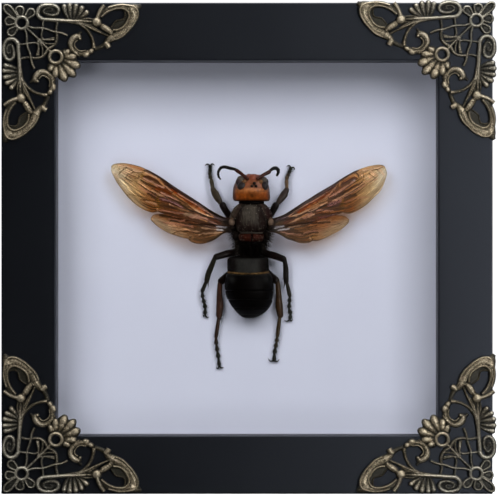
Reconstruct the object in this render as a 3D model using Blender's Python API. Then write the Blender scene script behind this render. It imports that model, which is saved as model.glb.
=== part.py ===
"""A giant hornet with spread wings in a black shadow-box frame with cast brass corners.

The frame stands on its bottom edge and faces -Y. X runs to the right as seen from the
front, Z up. The origin is below the middle of the object, on the surface it stands on.
Sizes below are in millimetres.
"""

import math

import bmesh
import bpy
from mathutils import Vector
from mathutils.geometry import delaunay_2d_cdt

MM = 0.001
GAP = 0.3  # between pieces that touch
MERGE = 0.01  # points nearer than this are one
SHORTEST_SIDE = 0.15  # of a cast outline
OUTLINE_TOLERANCE = 0.1  # a point that bends a cast outline less than this is left out
SMALLEST_HOLE = 0.3  # square millimetres

# Frame, seen from the front
FRAME_SIDE = 133.0
SIDE_RAIL = 14.8
LEVEL_RAIL = 15.7
CORNER_OVERHANG = 1.1  # the right-hand ornaments stand past the frame's edge
WIDTH_ADDED = 0.99  # by those ornaments' petals, which stop a little short of their corner
TOP_OVERHANG = 0.7  # and the upper right one past its top

# Depths, from the front face of the rails
FRAME_DEPTH = 25.0
LIP_DEPTH = 3.0
REBATE = 5.0
EDGE_ROUND = 0.5
GLASS_THICK = 2.0
SPACER_DEPTH = 14.0
CARD_THICK = 1.5
BOARD_THICK = 3.0

# Cast corner ornaments
CAST_THICK = 1.2
CAST_RELIEF = 0.3  # how far a crest stands above the flat of the casting
RING_RADIUS = 1.65  # middle of the flower's and the shell's rings

# Fittings on the back
BUTTON_LENGTH = 14.0
BUTTON_WIDTH = 6.0
BUTTON_THICK = 1.0
SCREW_RADIUS = 1.9
SCREW_HEAD = 0.5
HANGER_LENGTH = 44.0
HANGER_HEIGHT = 8.0
TOOTH_PITCH = 3.5
TOOTH_DEPTH = 1.8

# Hornet: its place in the frame, and the thickness of its wings
HORNET_RIGHT = 1.1
HORNET_UP = 6.3
WING_THICK = 0.35
FOREWING_ROOT_HEIGHT = 7.8
HINDWING_ROOT_HEIGHT = 6.9
WING_DROOP = 0.115  # height lost for each millimetre away from the thorax
FOREWING_PLEAT = 0.18  # rise and fall of the folds
HINDWING_PLEAT = 0.12
FOOT_HEIGHT = 0.8
FOOT_RADIUS = 0.42
CLAW_HEIGHT = 0.5
CLAW_RADIUS = 0.12
LIMB_SIDES = 6

# Share of a foot's joint at which it is narrow, and at which it is wide
NARROW_AT = 0.15
WIDE_AT = 0.9

# Legs: name, points (x, z, height, radius) from hip to shin's end, stops (x, z) of the
# foot's joints, and the claw's tip. x and z count from the hornet's middle.
LEGS = (
    ("foreleg_left",
     [(-2.6, 0.2, 1.5, 0.8), (-5.0, 1.6, 2.1, 0.75), (-7.0, 4.0, 3.2, 0.62), (-7.9, 5.5, 3.7, 0.45),
      (-8.3, 6.0, 3.6, 0.45), (-9.5, 7.9, 3.0, 0.85), (-10.5, 9.5, 2.4, 0.55)],
     [(-10.6, 9.6), (-10.9, 12.4), (-11.3, 13.4), (-11.3, 14.3), (-11.2, 15.6)],
     (-12.4, 16.2)),
    ("foreleg_right",
     [(2.6, 0.4, 1.5, 0.8), (4.6, 2.0, 2.1, 0.75), (6.0, 4.0, 3.2, 0.62), (6.8, 5.4, 3.7, 0.45),
      (7.2, 5.9, 3.6, 0.45), (8.7, 7.9, 3.0, 0.85), (9.8, 9.5, 2.4, 0.55)],
     [(9.8, 9.6), (9.7, 12.3), (9.9, 13.3), (10.3, 14.0), (10.8, 15.4)],
     (9.8, 16.2)),
    ("midleg_left",
     [(-1.8, -3.6, 1.5, 0.8), (-3.6, -6.7, 2.1, 0.75), (-6.6, -7.7, 3.4, 0.66), (-9.4, -8.5, 4.0, 0.5),
      (-10.1, -9.2, 3.9, 0.45), (-11.2, -12.2, 2.9, 0.7), (-12.1, -15.0, 2.1, 0.55)],
     [(-12.2, -15.2), (-13.4, -18.2), (-13.2, -19.8), (-12.9, -21.2), (-12.5, -22.6), (-12.7, -24.5)],
     (-11.6, -25.1)),
    ("midleg_right",
     [(1.7, -3.6, 1.5, 0.8), (3.5, -7.1, 2.1, 0.75), (6.4, -8.3, 3.4, 0.66), (8.7, -9.2, 4.0, 0.5),
      (9.4, -9.9, 3.9, 0.45), (9.7, -12.6, 2.9, 0.7), (9.7, -15.4, 2.1, 0.55)],
     [(9.8, -15.6), (10.6, -19.4), (10.5, -21.0), (10.4, -22.6), (10.8, -24.2), (10.7, -25.6)],
     (9.3, -25.9)),
    ("hindleg_left",
     [(-1.6, -7.6, 1.5, 0.75), (-4.4, -10.4, 1.35, 0.7), (-7.0, -13.2, 1.7, 0.62), (-8.4, -15.0, 2.5, 0.5),
      (-8.75, -16.3, 2.6, 0.5), (-8.8, -22.0, 2.1, 0.85), (-8.8, -24.9, 1.7, 0.6)],
     [(-8.8, -25.1), (-9.6, -30.6), (-9.5, -32.6), (-9.2, -34.4), (-9.0, -36.2), (-8.6, -38.3)],
     (-7.8, -38.7)),
    ("hindleg_right",
     [(1.3, -7.6, 1.5, 0.75), (3.4, -10.0, 1.35, 0.7), (5.6, -13.0, 1.7, 0.62), (7.0, -14.8, 2.5, 0.5),
      (7.35, -16.0, 2.6, 0.5), (7.9, -22.3, 2.1, 0.85), (7.9, -24.7, 1.7, 0.6)],
     [(7.9, -24.9), (7.2, -30.4), (7.0, -31.9), (6.7, -33.4), (6.3, -35.0), (6.3, -37.0)],
     (5.2, -36.7)),
)

# Feelers: points (x, z, height, radius) from the head to the tip
FEELERS = (
    ("antenna_left",
     [(-1.1, 12.9, 10.1, 0.3), (-2.5, 14.0, 9.3, 0.38), (-3.9, 14.9, 8.5, 0.42), (-4.4, 15.3, 8.1, 0.34),
      (-5.6, 15.6, 7.3, 0.4), (-7.3, 15.9, 6.2, 0.4), (-8.3, 15.5, 5.5, 0.38), (-8.8, 14.6, 4.9, 0.36),
      (-8.8, 13.7, 4.5, 0.32), (-8.5, 12.8, 4.2, 0.2)]),
    ("antenna_right",
     [(1.7, 12.9, 10.1, 0.3), (3.3, 13.7, 9.3, 0.38), (5.0, 14.6, 8.4, 0.42), (5.4, 15.1, 8.0, 0.34),
      (6.1, 15.5, 7.2, 0.4), (6.9, 15.6, 6.4, 0.4), (7.5, 15.0, 5.7, 0.38), (7.5, 14.3, 5.1, 0.32),
      (7.1, 13.6, 4.7, 0.2)]),
)

# Wings: outlines (x, z) from the root along the front edge and back
FOREWING_LEFT = [
    (-6.25, 1.5), (-9.5, 2.9), (-13.0, 5.0), (-17.7, 8.3), (-23.6, 11.8), (-28.3, 14.6), (-31.8, 16.3),
    (-35.1, 17.0), (-37.2, 16.9), (-38.2, 16.2), (-38.1, 14.6), (-36.5, 11.6), (-34.2, 8.3), (-31.8, 6.0),
    (-29.5, 4.3), (-27.1, 3.5), (-25.7, 3.5), (-17.0, 1.3), (-6.25, -0.3)]
HINDWING_LEFT = [
    (-6.25, -0.6), (-14.0, 1.3), (-20.0, 2.9), (-25.9, 2.9), (-27.4, 2.2), (-26.9, 1.3), (-24.8, -0.9),
    (-22.4, -2.3), (-20.1, -3.3), (-17.7, -3.7), (-16.3, -4.6), (-14.2, -5.1), (-11.8, -4.9),
    (-9.5, -3.7), (-6.1, -1.8)]
FOREWING_RIGHT = [
    (6.25, 1.7), (9.5, 3.3), (12.9, 5.5), (17.4, 8.5), (21.9, 10.9), (26.5, 13.9), (29.9, 15.4),
    (33.3, 16.4), (36.0, 16.5), (37.0, 15.0), (36.9, 13.5), (35.5, 10.7), (33.3, 7.8), (31.0, 5.8),
    (28.7, 4.2), (26.5, 3.1), (25.2, 3.3), (16.5, 1.2), (6.25, -0.1)]
HINDWING_RIGHT = [
    (6.25, -0.5), (13.0, 1.2), (19.0, 2.8), (25.8, 2.6), (26.7, 1.7), (26.5, 0.5), (24.2, -1.5),
    (21.9, -2.6), (19.7, -4.0), (17.4, -4.4), (15.6, -4.7), (12.9, -4.8), (10.6, -4.0), (6.1, -1.8)]

# Folds of each wing: its root and the points they fan out to
FORE_FOLDS_LEFT = ((-6.5, 0.8), [(-34.5, 15.4), (-35.0, 12.4), (-31.0, 7.6)])
HIND_FOLDS_LEFT = ((-6.4, -1.2), [(-24.5, 1.6), (-20.5, -1.2), (-15.0, -3.3)])
FORE_FOLDS_RIGHT = ((6.5, 0.9), [(33.5, 15.0), (34.0, 11.8), (30.0, 7.2)])
HIND_FOLDS_RIGHT = ((6.4, -1.2), [(24.0, 1.4), (20.0, -1.6), (14.5, -3.2)])
FOLD_STOPS = (0.12, 0.46, 0.8)  # shares of the way from the root at which a fold has its points

# Places that follow from the sizes above
CENTRE_X = -WIDTH_ADDED / 2
CENTRE_Z = FRAME_SIDE / 2
FRONT = -FRAME_DEPTH / 2
BACK = FRAME_DEPTH / 2
GLASS_FRONT = FRONT + LIP_DEPTH + GAP
SPACER_FRONT = GLASS_FRONT + GLASS_THICK + GAP
CARD_FRONT = SPACER_FRONT + SPACER_DEPTH + GAP
BOARD_FRONT = CARD_FRONT + CARD_THICK + GAP
HORNET_X = CENTRE_X + HORNET_RIGHT
HORNET_Z = CENTRE_Z + HORNET_UP


def clear_scene():
    for old in list(bpy.data.objects):
        bpy.data.objects.remove(old)


def make_material(name, colour, roughness, metallic=0.0):
    material = bpy.data.materials.new(name)
    material.use_nodes = True
    shader = material.node_tree.nodes["Principled BSDF"]
    shader.inputs["Base Color"].default_value = (*colour, 1.0)
    shader.inputs["Roughness"].default_value = roughness
    shader.inputs["Metallic"].default_value = metallic
    material.diffuse_color = (*colour, 1.0)
    return material


def add_object(name, mesh_builder, material, smooth_degrees=None):
    """Turns a bmesh in millimetres into a named object in metres."""
    bmesh.ops.scale(mesh_builder, vec=(MM, MM, MM), verts=mesh_builder.verts)
    bmesh.ops.recalc_face_normals(mesh_builder, faces=mesh_builder.faces)
    mesh = bpy.data.meshes.new(name)
    mesh_builder.to_mesh(mesh)
    mesh_builder.free()
    piece = bpy.data.objects.new(name, mesh)
    bpy.context.collection.objects.link(piece)
    mesh.materials.append(material)
    if smooth_degrees is not None:
        mesh.shade_smooth()
        mesh.set_sharp_from_angle(angle=math.radians(smooth_degrees))
    return piece


def extrude_polygon(mesh_builder, near, far):
    """A closed prism between two rings of the same number of points."""
    first = [mesh_builder.verts.new(p) for p in near]
    last = [mesh_builder.verts.new(p) for p in far]
    mesh_builder.faces.new(first)
    mesh_builder.faces.new(last[::-1])
    for i in range(len(first)):
        j = (i + 1) % len(first)
        mesh_builder.faces.new((first[j], first[i], last[i], last[j]))


def add_box(name, x_range, y_range, z_range, material):
    box = bmesh.new()
    corners = [(x_range[0], z_range[0]), (x_range[1], z_range[0]),
               (x_range[1], z_range[1]), (x_range[0], z_range[1])]
    near = [(x, y_range[0], z) for x, z in corners]
    far = [(x, y_range[1], z) for x, z in corners]
    extrude_polygon(box, near, far)
    return add_object(name, box, material)


# ---------------------------------------------------------------- frame

def rail_profile(width):
    """(inward, depth) points of a rail's section, with the rebate behind the lip."""
    return [(0, EDGE_ROUND), (EDGE_ROUND, 0), (width - EDGE_ROUND, 0), (width, EDGE_ROUND),
            (width, LIP_DEPTH), (width - REBATE, LIP_DEPTH), (width - REBATE, FRAME_DEPTH),
            (0, FRAME_DEPTH)]


def add_rail(name, turn, width, neighbour_width, material):
    """One mitred rail. turn 0 is the top rail; 1, 2, 3 go round to the left."""
    half = FRAME_SIDE / 2
    slope = neighbour_width / width
    clearance = GAP / 2 * math.hypot(1, slope)
    ends = []
    for side in (-1, 1):
        ring = []
        for inward, depth in rail_profile(width):
            along = side * (half - slope * inward - clearance)
            outward = half - inward
            x, z = along, outward
            for _ in range(turn):
                x, z = -z, x
            ring.append((CENTRE_X + x, FRONT + depth, CENTRE_Z + z))
        ends.append(ring)
    rail = bmesh.new()
    extrude_polygon(rail, *ends)
    return add_object(name, rail, material)


def add_rails(paint):
    add_rail("rail_top", 0, LEVEL_RAIL, SIDE_RAIL, paint)
    add_rail("rail_left", 1, SIDE_RAIL, LEVEL_RAIL, paint)
    add_rail("rail_bottom", 2, LEVEL_RAIL, SIDE_RAIL, paint)
    add_rail("rail_right", 3, SIDE_RAIL, LEVEL_RAIL, paint)


def add_filling(glass, spacer, card, board):
    """What lies in the rebate, from the front: glass, spacers, card and back board."""
    half_x = FRAME_SIDE / 2 - SIDE_RAIL + REBATE - GAP
    half_z = FRAME_SIDE / 2 - LEVEL_RAIL + REBATE - GAP
    x_range = (CENTRE_X - half_x, CENTRE_X + half_x)
    z_range = (CENTRE_Z - half_z, CENTRE_Z + half_z)
    strip = REBATE - GAP
    y_range = (SPACER_FRONT, SPACER_FRONT + SPACER_DEPTH)
    add_box("glass_pane", x_range, (GLASS_FRONT, GLASS_FRONT + GLASS_THICK), z_range, glass)
    add_box("spacer_top", x_range, y_range, (z_range[1] - strip, z_range[1]), spacer)
    add_box("spacer_bottom", x_range, y_range, (z_range[0], z_range[0] + strip), spacer)
    between = (z_range[0] + strip + GAP, z_range[1] - strip - GAP)
    add_box("spacer_left", (x_range[0], x_range[0] + strip), y_range, between, spacer)
    add_box("spacer_right", (x_range[1] - strip, x_range[1]), y_range, between, spacer)
    add_box("backing_card", x_range, (CARD_FRONT, CARD_FRONT + CARD_THICK), z_range, card)
    add_box("back_board", x_range, (BOARD_FRONT, BOARD_FRONT + BOARD_THICK), z_range, board)


# ---------------------------------------------------------------- fittings on the back

def round_bar_outline(length, width, steps):
    """A bar with half-round ends, as (along, across) points."""
    radius = width / 2
    reach = length / 2 - radius
    points = []
    for end in (1, -1):
        for i in range(steps + 1):
            angle = math.pi * (i / steps - 0.5)
            points.append((end * (reach + radius * math.cos(angle)), end * radius * math.sin(angle)))
    return points


def circle_outline(centre, radius, steps):
    return [(centre[0] + radius * math.cos(2 * math.pi * i / steps),
             centre[1] + radius * math.sin(2 * math.pi * i / steps)) for i in range(steps)]


def join_by_boolean(piece, other):
    """Fuses another object's solid into the piece."""
    union = piece.modifiers.new("Union", "BOOLEAN")
    union.operation = "UNION"
    union.solver = "EXACT"
    union.object = other
    other.hide_render = True
    other.display_type = "WIRE"


def back_plate(outline, centre, turned, y_range):
    """A flat plate on the frame's back from (along, across) points round a centre."""
    plate = bmesh.new()
    placed = []
    for along, across in outline:
        x, z = (across, along) if turned else (along, across)
        placed.append((centre[0] + x, centre[1] + z))
    extrude_polygon(plate, [(x, y_range[0], z) for x, z in placed], [(x, y_range[1], z) for x, z in placed])
    return plate


def add_turn_button(name, centre, turned, screw_side, metal):
    """A flat button that turns on a screw in the rail and reaches over the back board."""
    y_front = BACK + GAP
    y_back = y_front + BUTTON_THICK
    bar = back_plate(round_bar_outline(BUTTON_LENGTH, BUTTON_WIDTH, 4), centre, turned, (y_front, y_back))
    button = add_object(name, bar, metal, 40)
    screw_centre = (screw_side * (BUTTON_LENGTH - BUTTON_WIDTH) / 2, 0)
    head = back_plate(circle_outline(screw_centre, SCREW_RADIUS, 8), centre, turned,
                      (y_back - BUTTON_THICK / 2, y_back + SCREW_HEAD))
    join_by_boolean(button, add_object(name + "_screw_head", head, metal))


def add_turn_buttons(metal):
    """One in the middle of each rail, the top one moved aside for the hanger."""
    edge_x = FRAME_SIDE / 2 - SIDE_RAIL + REBATE
    edge_z = FRAME_SIDE / 2 - LEVEL_RAIL + REBATE
    aside = HANGER_LENGTH / 2 + BUTTON_WIDTH
    add_turn_button("turn_button_top", (CENTRE_X + aside, CENTRE_Z + edge_z), True, 1, metal)
    add_turn_button("turn_button_bottom", (CENTRE_X, CENTRE_Z - edge_z), True, -1, metal)
    add_turn_button("turn_button_left", (CENTRE_X - edge_x, CENTRE_Z), False, -1, metal)
    add_turn_button("turn_button_right", (CENTRE_X + edge_x, CENTRE_Z), False, 1, metal)


def add_wall_hanger(metal):
    """A strip with a toothed lower edge, held by a nail near each end."""
    half = HANGER_LENGTH / 2
    low, high = -HANGER_HEIGHT / 2, HANGER_HEIGHT / 2
    toothed_half = half - HANGER_HEIGHT
    outline = [(half, low), (half, high), (-half, high), (-half, low), (-toothed_half, low)]
    teeth = int(2 * toothed_half / TOOTH_PITCH)
    for i in range(teeth):
        start = -toothed_half + i * TOOTH_PITCH
        outline += [(start + TOOTH_PITCH / 2, low + TOOTH_DEPTH), (start + TOOTH_PITCH, low)]
    centre = (CENTRE_X, CENTRE_Z + FRAME_SIDE / 2 - LEVEL_RAIL / 2 + REBATE / 2)
    y_front = BACK + GAP
    y_back = y_front + BUTTON_THICK
    strip = add_object("wall_hanger", back_plate(outline, centre, False, (y_front, y_back)), metal)
    for side in (-1, 1):
        nail_centre = (side * (half - HANGER_HEIGHT / 2), 0)
        nail = back_plate(circle_outline(nail_centre, SCREW_RADIUS, 8), centre, False,
                          (y_back - BUTTON_THICK / 2, y_back + SCREW_HEAD))
        join_by_boolean(strip, add_object(f"hanger_nail_{side}", nail, metal))


# ---------------------------------------------------------------- flat shapes from outlines

def signed_area(outline):
    turned = (*outline[1:], outline[0])
    return sum(a[0] * b[1] - b[0] * a[1] for a, b in zip(outline, turned)) / 2


def same_winding(outline):
    return outline if signed_area(outline) > 0 else outline[::-1]


def covered(point, outlines):
    """Whether a point lies in any of the convex outlines, which all turn the same way."""
    x, y = point
    for outline in outlines:
        turned = outline[1:] + outline[:1]
        if all((x1 - x0) * (y - y0) >= (y1 - y0) * (x - x0) for (x0, y0), (x1, y1) in zip(outline, turned)):
            return True
    return False


def fused_loops(outlines):
    """The closed outlines of many overlapping convex shapes taken as one."""
    shapes = [same_winding(outline) for outline in outlines]
    points, edges = [], []
    for shape in shapes:
        start, count = len(points), len(shape)
        points += [Vector(p) for p in shape]
        edges += [(start + i, start + (i + 1) % count) for i in range(count)]
    found = delaunay_2d_cdt(points, edges, [], 0, MERGE)
    directed = set()
    for face in found[2]:
        if covered(sum((found[0][i] for i in face), Vector((0, 0))) / 3, shapes):
            directed.update(((face[0], face[1]), (face[1], face[2]), (face[2], face[0])))
    following = {}
    for a, b in sorted(directed):
        if (b, a) not in directed:
            following.setdefault(a, []).append(b)
    loops = []
    while following:
        start = min(following)
        loop, here = [], start
        while here in following:
            loop.append(tuple(found[0][here]))
            ways = following[here]
            onward = ways.pop()
            if not ways:
                del following[here]
            here = onward
        loops.append(thin_out(loop))
    return [loop for loop in loops if abs(signed_area(loop)) > SMALLEST_HOLE]


def thin_out(loop):
    """Leaves out each point that hardly bends the outline."""
    kept = list(loop)
    changed = True
    while changed and len(kept) > 4:
        changed = False
        for i in range(len(kept)):
            before, here, after = kept[i - 1], kept[i], kept[(i + 1) % len(kept)]
            base = math.dist(before, after)
            bend = abs(signed_area([before, here, after])) * 2 / base if base else 0.0
            if bend < OUTLINE_TOLERANCE or math.dist(here, after) < SHORTEST_SIDE:
                del kept[i]
                changed = True
                break
    return kept


def is_inside(point, loops):
    """Even-odd test of a point against closed loops."""
    x, y = point
    inside = False
    for loop in loops:
        for (x0, y0), (x1, y1) in zip(loop, loop[1:] + loop[:1]):
            if (y0 > y) != (y1 > y) and x < x0 + (y - y0) * (x1 - x0) / (y1 - y0):
                inside = not inside
    return inside


def triangulate(loops, lines):
    """Points and triangles that fill the loops, with an edge along each line."""
    points, edges = [], []
    for loop in loops:
        start, count = len(points), len(loop)
        points += [Vector(p) for p in loop]
        edges += [(start + i, start + (i + 1) % count) for i in range(count)]
    for line in lines:
        start = len(points)
        points += [Vector(p) for p in line]
        edges += [(i, i + 1) for i in range(start, len(points) - 1)]
    found = delaunay_2d_cdt(points, edges, [], 0, MERGE)
    inside = []
    for face in found[2]:
        middle = sum((found[0][i] for i in face), Vector((0, 0))) / 3
        if is_inside(middle, loops):
            inside.append(tuple(face))
    return found[0], inside


def build_plate(loops, lines, low, high, place):
    """A closed plate inside the loops: low and high give its two faces at a point."""
    points, triangles = triangulate(loops, lines)
    plate = bmesh.new()
    bottom = [plate.verts.new(place(p.x, p.y, low(p.x, p.y))) for p in points]
    top = [plate.verts.new(place(p.x, p.y, high(p.x, p.y))) for p in points]
    directed = set()
    for a, b, c in triangles:
        plate.faces.new((top[a], top[b], top[c]))
        plate.faces.new((bottom[c], bottom[b], bottom[a]))
        directed.update(((a, b), (b, c), (c, a)))
    for a, b in sorted(directed):
        if (b, a) not in directed:
            plate.faces.new((top[b], top[a], bottom[a], bottom[b]))
    loose = [v for v in plate.verts if not v.link_faces]
    bmesh.ops.delete(plate, geom=loose, context="VERTS")
    return plate


# ---------------------------------------------------------------- corner ornaments

class Casting:
    """Collects the strands and lobes of one openwork casting, in its corner's (u, v) plane."""

    def __init__(self):
        self.outlines = []
        self.crests = []
        self.ridges = []

    def strand(self, points, widths, closed=False, crest=False, both=True):
        """A strand through the points. widths is one width, or one for each point."""
        if not isinstance(widths, (list, tuple)):
            widths = [widths] * len(points)
        self._add(points, widths, closed, crest)
        if both:
            self._add([(v, u) for u, v in points], widths, closed, crest)

    def _add(self, points, widths, closed, crest):
        count = len(points)
        left, right = [], []
        for i, (u, v) in enumerate(points):
            before = points[i - 1] if i or closed else points[i]
            after = points[(i + 1) % count] if i < count - 1 or closed else points[i]
            along = Vector((after[0] - before[0], after[1] - before[1])).normalized()
            half = widths[i] / 2
            left.append((u - along.y * half, v + along.x * half))
            right.append((u + along.y * half, v - along.x * half))
        for i in range(count if closed else count - 1):
            j = (i + 1) % count
            for half_quad in ((left[i], left[j], right[j]), (left[i], right[j], right[i])):
                if abs(signed_area(half_quad)) > MERGE:
                    self.outlines.append(list(half_quad))
            if crest:
                self.ridges.append((Vector(points[i]), Vector(points[j]), widths[i] / 2, widths[j] / 2))
        if crest:
            self.crests.append(list(points[1:]))

    def ball(self, centre, radius, both=True):
        """A round boss with a raised middle."""
        for u, v in [centre] + ([centre[::-1]] if both else []):
            self.outlines.append(circle_outline((u, v), radius, 8))
            middle = Vector((u, v))
            self.crests.append([(u - 0.1, v), (u + 0.1, v)])
            self.ridges.append((middle, middle, radius, radius))

    def height(self, u, v):
        """Top of the casting: flat, and raised towards each crest."""
        raised = 0.0
        point = Vector((u, v))
        for start, end, half_start, half_end in self.ridges:
            along = end - start
            length = along.length
            t = min(max((point - start).dot(along) / length ** 2, 0), 1) if length else 0.0
            half = half_start + (half_end - half_start) * t
            near = 1 - (point - start.lerp(end, t)).length / half
            raised = max(raised, near)
        return CAST_THICK + CAST_RELIEF * raised


def polar(centre, angle, radius):
    return (centre[0] + radius * math.cos(math.radians(angle)),
            centre[1] + radius * math.sin(math.radians(angle)))


def open_petal(centre, angle, reach, half_width):
    """Outline of a petal from the flower's ring out to its tip."""
    along = Vector((math.cos(math.radians(angle)), math.sin(math.radians(angle))))
    across = Vector((-along.y, along.x))
    widest = RING_RADIUS + (reach - RING_RADIUS) * 0.6
    stops = ((RING_RADIUS, -0.3), (widest, -half_width), (reach, -0.2), (reach, 0.2),
             (widest, half_width), (RING_RADIUS, 0.3))
    return [tuple(Vector(centre) + along * out + across * aside) for out, aside in stops]


def add_flower(casting):
    """Ring of a flower in the very corner, with five open petals; the corner one is the longest."""
    centre = (5.3, 5.3)
    casting.strand(circle_outline(centre, RING_RADIUS, 8), 0.75, closed=True, both=False)
    casting.strand(open_petal(centre, 225, 6.3, 0.95), 0.5, both=False)
    for angle in (188, 262):
        casting.strand(open_petal(centre, angle, 4.5, 0.95), 0.5, both=False)
    for angle in (138, 312):
        casting.strand(open_petal(centre, angle, 4.7, 0.85), 0.5, both=False)


def add_web(casting):
    """Thin strands like a cobweb between the flower and the shell."""
    casting.strand([(6.4, 6.4), (13.4, 13.4)], 0.75, both=False)
    casting.strand([(7.0, 6.4), (13.6, 7.6), (17.9, 9.0)], 0.7)
    casting.strand([(11.2, 4.4), (11.0, 9.7), (14.6, 9.8)], 0.65)
    casting.strand([(15.2, 4.6), (14.5, 7.8), (14.8, 10.3), (12.6, 12.6)], 0.75)


def add_shell(casting):
    """Ring with a fan of seven lobes, which reaches over the corner of the opening."""
    centre = (14.6, 14.6)
    casting.strand(circle_outline(centre, RING_RADIUS, 8), 0.8, closed=True, both=False)
    for step in range(-3, 4):
        angle = 45 + step * 24
        reach = (7.3, 6.6, 5.2, 3.7)[abs(step)]
        width = (2.0, 2.0, 1.8, 1.5)[abs(step)]
        lobe = [polar(centre, angle, out) for out in (RING_RADIUS, reach - width / 2, reach)]
        casting.strand(lobe, [0.8, width, width * 0.45], crest=True, both=False)


def add_spiral(casting):
    """Scroll beside the flower, the bar that runs on from it, and a palmette on the bar."""
    coil = [(11.2, 4.4), (9.8, 3.4), (9.7, 1.7), (11.0, 0.7), (13.4, 0.6), (15.2, 1.4), (15.2, 2.7),
            (13.6, 3.3), (12.1, 2.7), (12.3, 1.9)]
    casting.strand(coil, [1.1, 1.1, 1.1, 1.0, 1.0, 1.0, 1.0, 0.9, 0.9, 0.7])
    casting.strand([(10.6, 4.3), (15.8, 4.7), (21.1, 4.9), (25.2, 5.1)], [1.0, 1.1, 1.2, 0.8])
    for tip in ((17.5, 0.8), (19.3, 0.7), (21.1, 1.1), (22.8, 2.3)):
        casting.strand([(19.0 + (tip[0] - 17.5) * 0.25, 4.6), tip], [0.6, 1.2])


def add_eye_loop(casting):
    """Long open loop at the end of each arm, with its ball, prongs and inner leaf."""
    loop = [(26.8, 3.2), (28.9, 1.6), (31.5, 0.9), (34.0, 1.1), (35.8, 2.0), (35.9, 3.5), (35.1, 5.3),
            (33.7, 7.0), (31.9, 8.3), (30.0, 9.1), (28.8, 10.1)]
    casting.strand(loop, [0.9, 0.9, 0.9, 1.1, 1.5, 1.6, 1.6, 1.6, 1.7, 1.7, 1.2])
    casting.strand([(35.6, 2.0), (36.7, 1.2), (37.9, 0.5)], [1.9, 1.1, 0.7])
    casting.strand([(25.9, 4.6), (26.4, 2.6), (27.6, 0.6)], [1.0, 0.9, 0.8])
    casting.strand([(26.6, 5.2), (28.2, 6.5), (30.0, 8.6)], [0.9, 1.4, 1.0])
    casting.ball((25.8, 5.1), 1.25)


def add_scrolls(casting):
    """Lower edge of each arm: nub, rod, C-scroll, and the stem that ties them to the bar."""
    casting.strand([(29.2, 9.6), (28.2, 10.9), (25.2, 12.3)], [1.4, 1.0, 0.8])
    casting.strand([(28.0, 10.7), (29.2, 12.0)], [1.1, 1.1])
    casting.strand([(20.7, 5.2), (22.9, 7.0), (24.6, 9.2), (25.1, 12.3)], [0.9, 0.7, 0.7, 0.9])
    scroll = [(21.3, 9.2), (19.9, 9.0), (18.9, 10.0), (18.8, 11.5), (19.7, 12.9), (21.3, 13.7),
              (23.2, 13.6), (25.2, 12.3)]
    casting.strand(scroll, [0.9, 1.2, 1.2, 1.0, 0.9, 1.1, 1.6, 0.8])
    casting.strand([(19.9, 12.9), (21.2, 14.5)], [0.9, 0.7])
    casting.strand([(20.9, 5.1), (24.4, 7.0), (29.0, 9.2)], [0.9, 0.8, 0.7])


def add_ornament(name, corner, direction, brass, casting, loops):
    """One casting on the rails' front, with its corner at the given place."""
    def place(u, v, height):
        return (corner[0] + direction[0] * u, FRONT - GAP - height, corner[1] + direction[1] * v)

    plate = build_plate(loops, casting.crests, lambda u, v: 0.0, casting.height, place)
    add_object(name, plate, brass)


def add_ornaments(brass):
    casting = Casting()
    add_flower(casting)
    add_web(casting)
    add_shell(casting)
    add_spiral(casting)
    add_eye_loop(casting)
    add_scrolls(casting)
    loops = fused_loops(casting.outlines)
    left, right = CENTRE_X - FRAME_SIDE / 2, CENTRE_X + FRAME_SIDE / 2 + CORNER_OVERHANG
    low, high = 0.0, FRAME_SIDE
    add_ornament("ornament_top_left", (left, high), (1, -1), brass, casting, loops)
    add_ornament("ornament_top_right", (right, high + TOP_OVERHANG), (-1, -1), brass, casting, loops)
    add_ornament("ornament_bottom_left", (left, low), (1, 1), brass, casting, loops)
    add_ornament("ornament_bottom_right", (right, low), (-1, 1), brass, casting, loops)


# ---------------------------------------------------------------- hornet

def on_hornet(x, z, height):
    """World place of a point given from the hornet's middle and its height above the card."""
    return (HORNET_X + x, CARD_FRONT - height, HORNET_Z + z)


def skin_rings(mesh_builder, rings):
    """A closed skin over rings with the same number of points."""
    loops = [[mesh_builder.verts.new(p) for p in ring] for ring in rings]
    count = len(loops[0])
    for near, far in zip(loops, loops[1:]):
        for i in range(count):
            j = (i + 1) % count
            mesh_builder.faces.new((near[i], near[j], far[j], far[i]))
    mesh_builder.faces.new(loops[0][::-1])
    mesh_builder.faces.new(loops[-1])


def add_body_part(name, stations, segments, material):
    """A rounded body part through (z, middle x, half width, low, high) stations."""
    rings = []
    for z, middle, half_width, low, high in stations:
        ring = []
        for i in range(segments):
            angle = 2 * math.pi * i / segments
            across = math.copysign(abs(math.cos(angle)) ** 0.9, math.cos(angle))
            up = math.copysign(abs(math.sin(angle)) ** 0.9, math.sin(angle))
            height = (low + high) / 2 + up * (high - low) / 2
            ring.append(on_hornet(middle + across * half_width, z, height))
        rings.append(ring)
    body = bmesh.new()
    skin_rings(body, rings)
    return add_object(name, body, material, 50)


def ellipsoid(centre, radii, material, name, segments):
    """A guide solid that a Boolean fuses into a body part."""
    ball = bmesh.new()
    bmesh.ops.create_uvsphere(ball, u_segments=segments, v_segments=segments - 2, radius=1.0)
    for vert in ball.verts:
        x, z, height = (centre[k] + radii[k] * vert.co[k] for k in range(3))
        vert.co = on_hornet(x, z, height)
    return add_object(name, ball, material, 50)


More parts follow.
